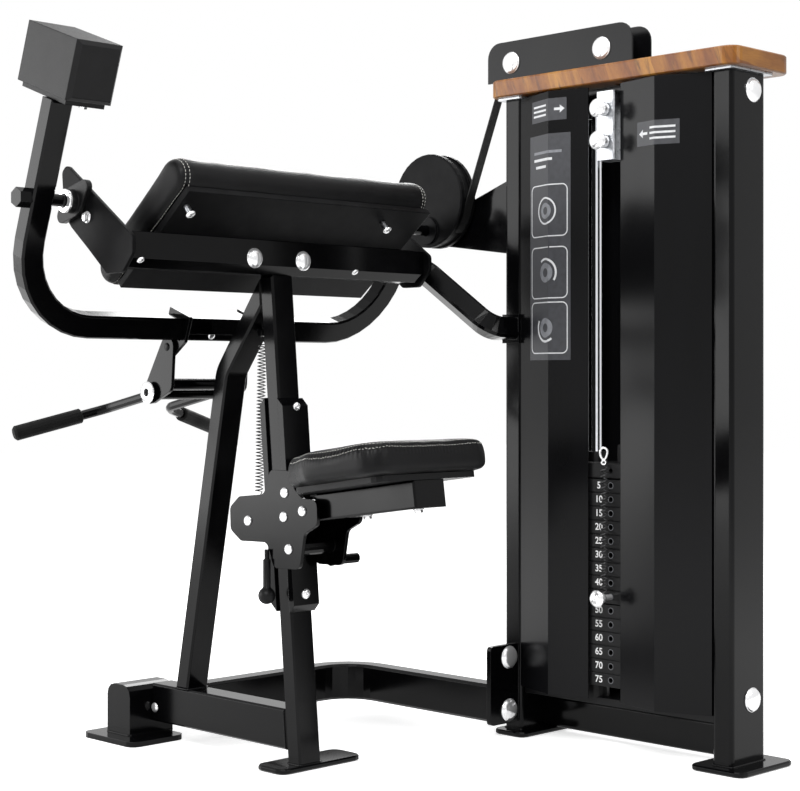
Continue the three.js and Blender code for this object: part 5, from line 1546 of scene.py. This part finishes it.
@dataclass
class Stitching:
    """Lines of thread on a cushion's skin, one slim stitch after another. Lengths in millimetres."""

    name: str
    body: Body
    length: float = 5.2
    pitch: float = 7.4
    thick: float = 0.62
    flat: float = 0.8  # how much flatter than round a stitch is
    proud: float = 0.3  # how far its middle stands out, as a share of its thickness

    def _stitch(self, bm: Mesh, middle: Vector, way: Vector, normal: Vector) -> None:
        """Adds one stitch, sunk at both ends.

        Args:
            bm: The mesh to add it to.
            middle: Its middle, on the skin.
            way: The way the thread runs.
            normal: The skin's normal.
        """
        side = normal.cross(way).normalized() * (self.thick * MM)
        up = normal * (self.thick * self.flat * MM)
        long = way * (self.length / 2 * MM)
        at = middle + normal * (self.proud * self.thick * MM)
        shape = Matrix(((side.x, up.x, long.x, at.x), (side.y, up.y, long.y, at.y),
                        (side.z, up.z, long.z, at.z), (0, 0, 0, 1)))
        bmesh.ops.create_uvsphere(bm, u_segments=6, v_segments=5, radius=1.0, matrix=shape)

    def _sewn(self, line: SkinLine) -> Mesh:
        """Lays stitches along a line.

        Args:
            line: A closed line on the skin.

        Returns:
            The mesh of the stitches.
        """
        bm = bmesh.new()
        run, next_at = 0.0, self.pitch / 2 * MM
        for (a, first), (b, second) in zip(line, line[1:] + line[:1]):
            step = (b - a).length
            while next_at <= run + step and step > 0:
                share = (next_at - run) / step
                self._stitch(bm, a.lerp(b, share), (b - a).normalized(),
                             first.lerp(second, share).normalized())
                next_at += self.pitch * MM
            run += step
        return bm

    def build(self, maker: Maker, lines: Iterable[SkinLine]) -> Piece:
        """Makes all the stitches as one piece.

        Args:
            maker: The maker of pieces.
            lines: Closed lines on the skin.

        Returns:
            The new object.
        """
        thread = merge(self._sewn(line) for line in lines)
        return maker.piece(thread, self.name, Finish.THREAD, self.body, ALL_SMOOTH)


def skin_of(obj: Piece) -> BVHTree:
    """Returns a tree for casting rays on a piece."""
    mesh = obj.data
    return BVHTree.FromPolygons([v.co for v in mesh.vertices], [p.vertices[:] for p in mesh.polygons])


def groove(distance: float, depth: float, half: float, reach: float = 12.0) -> float:
    """How deep a seam draws the skin in.

    Args:
        distance: Millimetres from the seam's line.
        depth: The seam's depth on its line, in millimetres.
        half: Half the seam's width, in millimetres.
        reach: Where the skin is flat again, in millimetres.

    Returns:
        The depth in metres.
    """
    return depth * MM * math.exp(-(distance / half) ** 2) if distance < reach else 0.0


@dataclass
class ArmPad:
    """The arm pad, with a seam and a double row of stitches round each end, and its bolts."""

    left: float = -947.0
    right: float = -233.0
    seam_in: float = 27.0  # from each end to its seam
    seam_deep: float = 2.0
    seam_half: float = 3.2
    stitch_off: float = 4.6
    board_up: float = -77.0
    voxel: float = 6.0
    cap: float = 6.0
    shrink: float = 8.0
    middle: Point = (130.0, -38.0)  # along and up, inside the pad
    core_half: float = 135.0
    round_wide: float = 260.0
    round_high: float = 120.0
    rays: int = 360
    bolt_x: Sequence[float] = (-908.0, -368.0)
    bolt_along: float = 22.0
    bolt_up: float = -114.0
    bolt_radius: float = 10.0
    stud_up: float = -92.0
    stud: Sequence[Point] = ((0, 0), (6.2, 0), (6.2, 22), (0, 22))

    def _seams(self, point: Vector) -> float:
        """Returns how deep the end seams draw the skin in at a point."""
        x = point.x / MM - SHIFT_X
        near = min(abs(x - self.left - self.seam_in), abs(x - self.right + self.seam_in))
        return groove(near, self.seam_deep, self.seam_half)

    def _round(self, skin: BVHTree, x: float) -> SkinLine:
        """Finds where a plane across the pad meets its skin.

        Args:
            skin: The pad's skin.
            x: The plane's place, in millimetres.

        Returns:
            The closed line.
        """
        along, up = PAD_SLOPE.along, PAD_SLOPE.up
        centre = place(*PAD_SLOPE.at(x, *self.middle))
        line = []
        for i in range(self.rays):
            turn = FULL_TURN * i / self.rays
            wide, high = self.round_wide * math.cos(turn), self.round_high * math.sin(turn)
            start = centre + (along * wide + up * high) * MM
            aim = centre + along * (max(-self.core_half, min(self.core_half, wide)) * MM)
            hit, normal, _, _ = skin.ray_cast(start, (aim - start).normalized())
            if hit is not None:
                line.append((hit, normal))
        return line

    def build(self, maker: Maker) -> list[Piece]:
        """Makes the pad, its stitching, and the studs and bolts under it."""
        pad = Cushion("arm_pad_cushion", "arm_pad", Body.FRAME, place(*PAD_SLOPE.at(0, 0, self.board_up)),
                      PAD_SLOPE.up, self._seams, self.voxel, self.cap, self.shrink).build(maker)
        skin = skin_of(pad)
        lines = [self._round(skin, seam + offset)
                 for seam in (self.left + self.seam_in, self.right - self.seam_in)
                 for offset in (-self.stitch_off, self.stitch_off)]
        down = -PAD_SLOPE.up
        studs = [maker.ring(f"pad_stud_{side}", Body.FRAME, PAD_SLOPE.at(x, self.bolt_along, self.stud_up),
                            down, self.stud, Finish.ZINC)
                 for side, x in zip(("left", "right"), self.bolt_x)]
        bolts = [Fastener(PAD_SLOPE.at(x, self.bolt_along, self.bolt_up), down, self.bolt_radius)
                 for x in self.bolt_x]
        return [pad, Stitching("arm_pad_stitching", Body.FRAME).build(maker, lines), *studs,
                maker.fasteners("pad_bolts", Body.FRAME, bolts)]


@dataclass
class Seat:
    """The seat cushion with a seam near the rim of its top, and the seat's bolts and knob."""

    top: float = 74.9
    rim_deep: float = 26.0  # how far below the top the seam is felt
    seam_in: float = 9.0
    seam_deep: float = 1.8
    seam_half: float = 3.4
    stitch_off: float = 4.4
    board_up: float = 12.6
    voxel: float = 5.0
    cap: float = 3.5
    shrink: float = 3.0
    middle_along: float = 140.0
    outline_up: float = 44.0
    outline_far: float = 400.0
    above: float = 160.0
    rays: int = 240
    carriage_half: float = 64.0
    clover: Sequence[Point] = ((772, 516), (656, 580), (658.5, 530), (601, 545), (643, 464))
    clover_radius: float = 11.0
    arm_bolt_x: float = -596.0
    arm_bolts: Sequence[float] = (27.0, 172.0)
    arm_bolt_up: float = -55.1
    arm_bolt_radius: float = 11.0
    knob: Point = (-655.3, 706.0, 346.0)
    ball_radius: float = 18.0
    ball_steps: int = 16
    neck: Sequence[Point] = ((8, 36), (8, 92), (6.5, 94), (0, 94))
    origin: Vector = field(default_factory=lambda: place(CENTRE_X, SEAT_SLOPE.y, SEAT_SLOPE.z))
    rim: list[Vector] = field(default_factory=list)  # the seam's line, filled in by build

    def _flat(self, point: Vector) -> tuple[float, float, float]:
        """Returns a point's place across, along and up in the seat's frame, in millimetres."""
        away = point - self.origin
        return away.x / MM, away.dot(SEAT_SLOPE.along) / MM, away.dot(SEAT_SLOPE.up) / MM

    def _outline(self, skin: BVHTree) -> list[Vector]:
        """Finds the seat's outline as seen from above.

        Args:
            skin: The seat's skin.

        Returns:
            Points across and along in the seat's flat frame, in millimetres.
        """
        centre = self.origin + (SEAT_SLOPE.along * self.middle_along + SEAT_SLOPE.up * self.outline_up) * MM
        out = []
        for i in range(self.rays):
            turn = FULL_TURN * i / self.rays
            way = RIGHT * math.cos(turn) + SEAT_SLOPE.along * math.sin(turn)
            hit, _, _, _ = skin.ray_cast(centre + way * (self.outline_far * MM), -way)
            if hit is not None:
                out.append(Vector(self._flat(hit)[:2]))
        return out

    @staticmethod
    def _inset(outline: list[Vector], by: float) -> list[Vector]:
        """Returns the outline moved inwards."""
        out = []
        for i, point in enumerate(outline):
            way = (outline[(i + 3) % len(outline)] - outline[i - 3]).normalized()
            out.append(point + Vector((-way.y, way.x)) * by)
        return out

    def _seams(self, point: Vector) -> float:
        """Returns how deep the rim seam draws the top in at a point."""
        x, along, up = self._flat(point)
        if up < self.top - self.rim_deep:
            return 0.0
        here = Vector((x, along))
        return groove(min((here - p).length for p in self.rim[::2]), self.seam_deep, self.seam_half)

    def _line(self, skin: BVHTree, outline: list[Vector], by: float) -> SkinLine:
        """Finds the skin's points under the inset outline.

        Args:
            skin: The seat's skin.
            outline: The outline in the seat's flat frame.
            by: How far in the line lies, in millimetres.

        Returns:
            The closed line.
        """
        line = []
        for p in self._inset(outline, by):
            start = self.origin + (RIGHT * p.x + SEAT_SLOPE.along * p.y + SEAT_SLOPE.up * self.above) * MM
            hit, normal, _, _ = skin.ray_cast(start, -SEAT_SLOPE.up)
            if hit is not None:
                line.append((hit, normal))
        return line

    def _cushion(self, maker: Maker) -> list[Piece]:
        """Makes the cushion and its stitching."""
        self.rim = self._inset(self._outline(skin_of(frame["nodes"]["seat_pad"])), self.seam_in)
        board = self.origin + SEAT_SLOPE.up * (self.board_up * MM)
        pad = Cushion("seat_cushion", "seat_pad", Body.CARRIAGE, board, SEAT_SLOPE.up, self._seams,
                      self.voxel, self.cap, self.shrink).build(maker)
        skin = skin_of(pad)
        outline = self._outline(skin)
        lines = [self._line(skin, outline, self.seam_in + offset)
                 for offset in (-self.stitch_off, self.stitch_off)]
        return [pad, Stitching("seat_stitching", Body.CARRIAGE).build(maker, lines)]

    def _hardware(self, maker: Maker) -> list[Piece]:
        """Makes the carriage's and the arm's bolts, and the adjuster's ball knob."""
        left = [Fastener((CENTRE_X - self.carriage_half, y, z), LEFT, self.clover_radius, Head.BUTTON)
                for y, z in self.clover]
        right = [Fastener((CENTRE_X + self.carriage_half, y, z), RIGHT, self.clover_radius, Head.BUTTON)
                 for y, z in self.clover[:-1]]  # the release lever stands where the last would be
        arm = [Fastener(SEAT_SLOPE.at(self.arm_bolt_x, along, self.arm_bolt_up), -SEAT_SLOPE.up,
                        self.arm_bolt_radius, Head.HEXAGON) for along in self.arm_bolts]
        ball = [(0.0, 0.0)]
        for i in range(1, self.ball_steps - 2):
            turn = math.pi * i / self.ball_steps
            ball.append((self.ball_radius * math.sin(turn), self.ball_radius * (1 - math.cos(turn))))
        return [maker.fasteners("carriage_bolts", Body.CARRIAGE, left + right),
                maker.fasteners("seat_arm_bolts", Body.CARRIAGE, arm),
                maker.ring("adjuster_ball", Body.ADJUSTER, self.knob, UP, [*ball, *self.neck],
                           Finish.PLASTIC)]

    def build(self, maker: Maker) -> list[Piece]:
        """Makes the cushion and the hardware."""
        return self._cushion(maker) + self._hardware(maker)


@dataclass
class Yoke:
    """The bolts of the yoke's bracket and weight, the fork's pins and the handle hub's rings."""

    bracket: Point = (-598.0, -20.2, -271.0)  # x, along and up in the yoke's frame
    bracket_radius: float = 9.0
    weight_x: float = -1056.0
    weight_along: Sequence[float] = (-28.0, 60.0)
    weight_up: float = 201.2
    weight_radius: float = 11.0
    pin_x: Sequence[float] = (-691.3, -476.7)
    pin_y: float = 997.35
    pin_z: float = 885.1
    pin_radius: float = 9.0
    hub_x: Sequence[float] = (-698.8, -473.4)
    hub_y: float = 1055.0
    hub_z: float = 785.0
    hub: Sequence[Point] = ((9.5, 0), (23.2, 0), (24.2, 1), (24.2, 2.6), (22, 4.4), (14, 6), (9.5, 5.2))

    def build(self, maker: Maker) -> list[Piece]:
        """Makes the bolts, pins and rings."""
        pins = [Fastener((x, self.pin_y, self.pin_z), way, self.pin_radius)
                for x, way in zip(self.pin_x, (LEFT, RIGHT))]
        weight = [Fastener(YOKE_SLOPE.at(self.weight_x, along, self.weight_up), -YOKE_SLOPE.up,
                           self.weight_radius, Head.HEXAGON) for along in self.weight_along]
        bracket = Fastener(YOKE_SLOPE.at(*self.bracket), -YOKE_SLOPE.along, self.bracket_radius)
        rings = [maker.ring(f"hub_ring_{side}", Body.HANDLE, (x, self.hub_y, self.hub_z), way, self.hub)
                 for side, x, way in zip(("left", "right"), self.hub_x, (LEFT, RIGHT))]
        return [maker.fasteners("yoke_bracket_bolts", Body.YOKE, [bracket]),
                maker.fasteners("weight_bolts", Body.YOKE, weight),
                maker.fasteners("fork_pin_caps", Body.FORK, pins, Finish.CAST_PAINT), *rings]


@dataclass(frozen=True)
class ShroudFace:
    """A folded shroud panel's outer skin, from above: its edge, its crease and its slot's edge."""

    edge: Point
    crease: Point
    slot: Point

    def at(self, across: float, z: float, lift: float) -> Vector:
        """Finds a place on the skin.

        Args:
            across: Millimetres along the skin from the crease, positive towards the slot.
            z: Height in millimetres.
            lift: How far out of the skin, in millimetres.

        Returns:
            The place in metres.
        """
        crease = Vector(self.crease)
        way = (Vector(self.slot if across > 0 else self.edge) - crease).normalized()
        normal = Vector((-abs(way.y), way.x if way.y > 0 else -way.x))
        flat = crease + way * abs(across) + normal * lift
        return place(flat.x, flat.y, z)


class Artwork:
    """Plain flat marks, drawn by distance from a panel's crease and by height, in millimetres."""

    THICK: ClassVar[float] = 0.12
    CORNER_STEPS: ClassVar[int] = 6
    ARC_STEPS: ClassVar[int] = 40
    SHAFT_HALF: ClassVar[float] = 0.11  # shares of an arrow's length
    HEAD_LONG: ClassVar[float] = 0.45
    HEAD_HALF: ClassVar[float] = 0.34

    def __init__(self) -> None:
        """Starts with no marks."""
        self.marks: list[Mesh] = []

    @staticmethod
    def _rectangle(w0: float, w1: float, z0: float, z1: float) -> Mesh:
        """Returns one flat rectangle."""
        bm = bmesh.new()
        middle = Matrix.Translation(((w0 + w1) / 2, (z0 + z1) / 2, 0))
        size = Matrix.Diagonal((abs(w1 - w0) / 2, abs(z1 - z0) / 2, 1, 1))
        bmesh.ops.create_grid(bm, x_segments=1, y_segments=1, size=1, matrix=middle @ size)
        return bm

    def block(self, w0: float, w1: float, z0: float, z1: float) -> None:
        """Adds a filled rectangle."""
        self.marks.append(self._rectangle(w0, w1, z0, z1))

    def outline(self, w0: float, w1: float, z0: float, z1: float, corner: float, wide: float) -> None:
        """Adds the outline of a rectangle with round corners.

        Args:
            w0: Its first side.
            w1: Its second side.
            z0: Its foot.
            z1: Its head.
            corner: The radius of its corners.
            wide: How wide the line is.
        """
        bm = self._rectangle(w0, w1, z0, z1)
        bmesh.ops.bevel(bm, geom=bm.verts[:], offset=corner, segments=self.CORNER_STEPS, profile=0.5,
                        affect="VERTICES", material=-1)
        inner = bm.faces[:]
        bmesh.ops.inset_region(bm, faces=inner, thickness=wide, use_boundary=True, use_even_offset=True)
        bmesh.ops.delete(bm, geom=inner, context="FACES")
        self.marks.append(bm)

    def arc(self, w: float, z: float, radius: float, wide: float, start: float = 0.0,
            end: float = FULL_TURN) -> None:
        """Adds an arc of a ring.

        Args:
            w: Its middle, from the crease.
            z: Its middle's height.
            radius: Its outer radius.
            wide: How wide the line is.
            start: Where it starts, in radians.
            end: Where it ends, in radians.
        """
        bm = bmesh.new()
        ends = [bm.verts.new((out * math.cos(start), out * math.sin(start), 0))
                for out in (radius - wide, radius)]
        edge = bm.edges.new(ends)
        bmesh.ops.spin(bm, geom=[*ends, edge], cent=(0, 0, 0), axis=UP, angle=end - start,
                       steps=self.ARC_STEPS, use_merge=end - start >= FULL_TURN)
        bmesh.ops.translate(bm, vec=(w, z, 0), verts=bm.verts)
        self.marks.append(bm)

    def arrow(self, w: float, z: float, size: float) -> None:
        """Adds an arrow of a length that points to the slot: a shaft and a head."""
        neck, tip = w + size * (0.5 - self.HEAD_LONG), w + size / 2
        self.block(w - size / 2, neck, z - self.SHAFT_HALF * size, z + self.SHAFT_HALF * size)
        head = self._rectangle(neck, tip, z - self.HEAD_HALF * size, z + self.HEAD_HALF * size)
        bmesh.ops.pointmerge(head, verts=sorted(head.verts, key=lambda v: v.co.x)[2:], merge_co=(tip, z, 0))
        self.marks.append(head)

    def onto(self, face: ShroudFace, lift: float) -> Mesh:
        """Bends the marks over the crease and gives them a thickness.

        Args:
            face: The panel's skin.
            lift: How far out of the skin they lie, in millimetres.

        Returns:
            The mesh in place.
        """
        bm = merge(self.marks)
        bmesh.ops.bisect_plane(bm, geom=[*bm.verts, *bm.edges, *bm.faces], plane_co=(0, 0, 0),
                               plane_no=RIGHT, dist=SAME_PLACE)
        for vert in bm.verts:
            vert.co = face.at(vert.co.x, vert.co.y, lift)
        bmesh.ops.recalc_face_normals(bm, faces=bm.faces)
        bmesh.ops.solidify(bm, geom=bm.faces[:], thickness=self.THICK * MM)
        return bm


@dataclass
class Placards:
    """The placard and the two small labels on the shroud, with plain generic marks.

    Each rectangle is its two sides, from the crease, and its foot and head.
    """

    left: ShroudFace = ShroudFace((0, 575.7), (-42, 460), (-20, 365))
    right: ShroudFace = ShroudFace((0, 51.3), (-42, 167), (-20, 273))
    foil_lift: float = 1.5
    ink_lift: float = 1.75
    placard: Point = (-79.0, 56.0, 857.0, 1361.0)
    left_label: Point = (-70.0, 46.0, 1390.0, 1439.0)
    right_label: Point = (-55.0, 54.0, 1310.0, 1362.0)
    panel_sides: Span = (-72.0, 49.0)
    panels: Sequence[Span] = ((1132.0, 1249.0), (994.0, 1110.0), (871.0, 987.0))
    panel_corner: float = 14.0
    panel_line: float = 2.6
    sign_w: float = -11.0
    signs: Sequence[Point] = (  # height, radius, width, start and end of each arc
        (1190.0, 31.0, 4.0, 0.0, FULL_TURN), (1052.0, 33.0, 5.0, -0.6, 2.2), (929.0, 33.0, 5.0, 2.6, 5.4))
    discs: Sequence[Point] = ((1190.0, 18.0, 9.0), (1052.0, 22.0, 12.0), (929.0, 22.0, 12.0))
    title: Point = (-60.0, 34.0, 1318.0, 1324.0)
    subtitles: Sequence[Point] = ((-60.0, 10.0, 1302.0, 1308.0), (-52.0, -8.0, 1286.0, 1292.0))
    row_high: float = 4.5
    left_rows: Sequence[float] = (1402.0, 1412.5, 1423.0)
    left_row_sides: Span = (-62.0, -8.0)
    left_arrow: Span = (28.0, 1414.5)
    right_rows: Sequence[float] = (1322.0, 1333.5, 1345.0)
    right_row_sides: Span = (-46.0, 14.0)
    right_arrow: Span = (34.0, 1336.0)
    arrow_size: float = 26.0

    def _foil(self, maker: Maker, name: str, face: ShroudFace, sides: Point) -> Piece:
        """Makes one bare foil."""
        art = Artwork()
        art.block(*sides)
        return maker.piece(art.onto(face, self.foil_lift), name, Finish.FOIL, Body.FRAME, FOLDED)

    def _print(self, maker: Maker, name: str, face: ShroudFace, art: Artwork,
               finish: Finish) -> Piece:
        """Makes one printed layer."""
        return maker.piece(art.onto(face, self.ink_lift), name, finish, Body.FRAME, FOLDED)

    def build(self, maker: Maker) -> list[Piece]:
        """Makes the foils and what is printed on them."""
        marks, shades, right = Artwork(), Artwork(), Artwork()
        for low, high in self.panels:
            marks.outline(*self.panel_sides, low, high, self.panel_corner, self.panel_line)
        for z, radius, wide, start, end in self.signs:
            marks.arc(self.sign_w, z, radius, wide, start, end)
        for z, radius, wide in self.discs:
            shades.arc(self.sign_w, z, radius, wide)
        shades.block(*self.title)
        for sides in self.subtitles:
            marks.block(*sides)
        for low in self.left_rows:
            marks.block(*self.left_row_sides, low, low + self.row_high)
        marks.arrow(*self.left_arrow, self.arrow_size)
        for low in self.right_rows:
            right.block(*self.right_row_sides, low, low + self.row_high)
        right.arrow(*self.right_arrow, self.arrow_size)
        return [
            self._foil(maker, "placard_left", self.left, self.placard),
            self._foil(maker, "label_left", self.left, self.left_label),
            self._foil(maker, "label_right", self.right, self.right_label),
            self._print(maker, "placard_marks", self.left, marks, Finish.INK),
            self._print(maker, "placard_shades", self.left, shades, Finish.GREY_INK),
            self._print(maker, "label_right_marks", self.right, right, Finish.INK)]


@dataclass(frozen=True)
class Softbox:
    """One large soft light, in metres and watts."""

    name: str
    at: Point
    aim: Point
    wide: float
    high: float
    power: float

    def build(self) -> Piece:
        """Returns the light, in place."""
        data = bpy.data.lights.new(self.name, "AREA")
        data.shape = "RECTANGLE"
        data.size, data.size_y = self.wide, self.high
        data.energy = self.power
        obj = put(self.name, data)
        obj.location = self.at
        obj.rotation_euler = (Vector(self.aim) - Vector(self.at)).to_track_quat("-Z", "Y").to_euler()
        return obj


@dataclass
class Studio:
    """White sweep, soft light and the camera at the photograph's place. Lengths are in metres."""

    floor_half: float = 14.0
    floor_drop: float = 0.0006
    floor_grey: str = "8c8c8c"
    floor_glow: float = 0.62  # how white the floor is under the machine, against one far out
    glow_from: float = 0.9
    glow_to: float = 2.4
    grain_mm: float = 400.0
    room_light: float = 0.17
    camera_at: Point = (-2.63385, -2.78789, 0.817)
    camera_turn: float = -math.pi / 4
    sensor_mm: float = 36.0
    lens_mm: float = 81.2
    picture_wide: float = 800.0  # pixels
    horizon_low: float = 17.5  # pixels that the horizon lies from the picture's middle
    lights: Sequence[Softbox] = (
        Softbox("side_light", (-4.8, 4.7, 1.6), (0, 0, 0.95), 5.4, 3.6, 300.0),
        Softbox("front_light", (1.2, -4.6, 3.2), (0, 0, 0.8), 1.4, 1.8, 60.0),
        Softbox("key_light", (-3.8, -2.6, 4.4), (0, 0, 0.8), 3.0, 2.2, 260.0),
        Softbox("back_light", (3.6, 3.2, 3.4), (0, 0, 0.8), 2.0, 2.0, 90.0),
        Softbox("top_light", (0.0, 0.0, 4.2), (0, 0, 0), 3.0, 3.0, 45.0))

    @staticmethod
    def _seen(tree: NodeTree) -> Socket:
        """Returns one for rays from the camera and those that gloss and glass send on, else zero."""
        camera, gloss, glass = (tree.add(Node.LIGHT_PATH, out=name) for name in (
            "Is Camera Ray", "Is Glossy Ray", "Is Transmission Ray"))
        bright = tree.add(Node.MATHS, {FIRST: camera, SECOND: gloss}, operation="MAXIMUM")
        return tree.add(Node.MATHS, {FIRST: bright, SECOND: glass}, operation="MAXIMUM")

    def _floor(self) -> Piece:
        """Makes a floor that is seen white with a soft shadow on it, and is dim to all other light."""
        bm = bmesh.new()
        bmesh.ops.create_grid(bm, x_segments=2, y_segments=2, size=self.floor_half,
                              matrix=Matrix.Translation((0, 0, -self.floor_drop)))
        mesh = bpy.data.meshes.new("floor")
        bm.to_mesh(mesh)
        bm.free()
        r = Recipe("matt_white_paper")
        seen = self._seen(r)
        away = r.add(Node.VECTOR_MATHS, {FIRST: r.place}, "Value", operation="LENGTH")
        glow = r.add(Node.RANGE, {"Value": away, "From Min": self.glow_from, "From Max": self.glow_to,
                                  "To Min": self.floor_glow, "To Max": 1.0}, clamp=True)
        tint = r.add(Node.MIX, {FACTOR: seen, DARK: linear(self.floor_grey), LIGHT: linear("ffffff")},
                     MIXED, data_type="RGBA")
        mesh.materials.append(r.finished(
            Base_Color=tint, Roughness=r.cloud(self.grain_mm, SPREAD, (0.85, 0.95), 3.0),
            Specular_IOR_Level=0.0, Emission_Color=linear("ffffff"),
            Emission_Strength=r.add(Node.MATHS, {FIRST: seen, SECOND: glow}, operation="MULTIPLY")))
        obj = put("floor", mesh)
        return obj

    def _world(self) -> None:
        """Makes the surroundings: white where they are seen, and a dim grey to all other light."""
        world = bpy.data.worlds.new("studio")
        bpy.context.scene.world = world
        world.use_nodes = True
        tree = NodeTree(world.node_tree)
        white = linear("ffffff")
        dim = tree.add(Node.BACKGROUND, {"Color": white, "Strength": self.room_light})
        bright = tree.add(Node.BACKGROUND, {"Color": white, "Strength": 1.0})
        mixed = tree.add(Node.MIX_SHADER, {0: self._seen(tree), 1: dim, 2: bright})
        tree.add(Node.WORLD_OUTPUT, {"Surface": mixed})

    def _camera(self) -> Piece:
        """Makes the camera at the photograph's place, level, so that upright edges stay upright."""
        data = bpy.data.cameras.new("camera")
        data.sensor_width = self.sensor_mm
        data.lens = self.lens_mm
        data.shift_y = -self.horizon_low / self.picture_wide
        data.clip_end = 60
        obj = put("camera", data)
        obj.location = self.camera_at
        obj.rotation_euler = (QUARTER_TURN, 0, self.camera_turn)
        bpy.context.scene.camera = obj
        return obj

    def build(self, maker: Maker) -> list[Piece]:
        """Sets up the camera, the floor, the surroundings and the lights."""
        self._world()
        bpy.context.scene.view_settings.view_transform = "Standard"
        return [self._camera(), self._floor(), *(light.build() for light in self.lights)]


def main() -> None:
    """Builds every part of the picture in order and reports each piece."""
    logging.basicConfig(level=logging.INFO, format="%(message)s")
    maker = Maker()
    maker.dress_frame()
    for part in (Studio(), Lanyard(), ArmPad(), Seat(), Tower(), BeltDrive(), Stack(), UserFrame(), Yoke(),
                 Placards()):
        for obj in part.build(maker):
            LOG.info("%s: %s", type(part).__name__, obj.name)


if __name__ == "__main__":
    main()
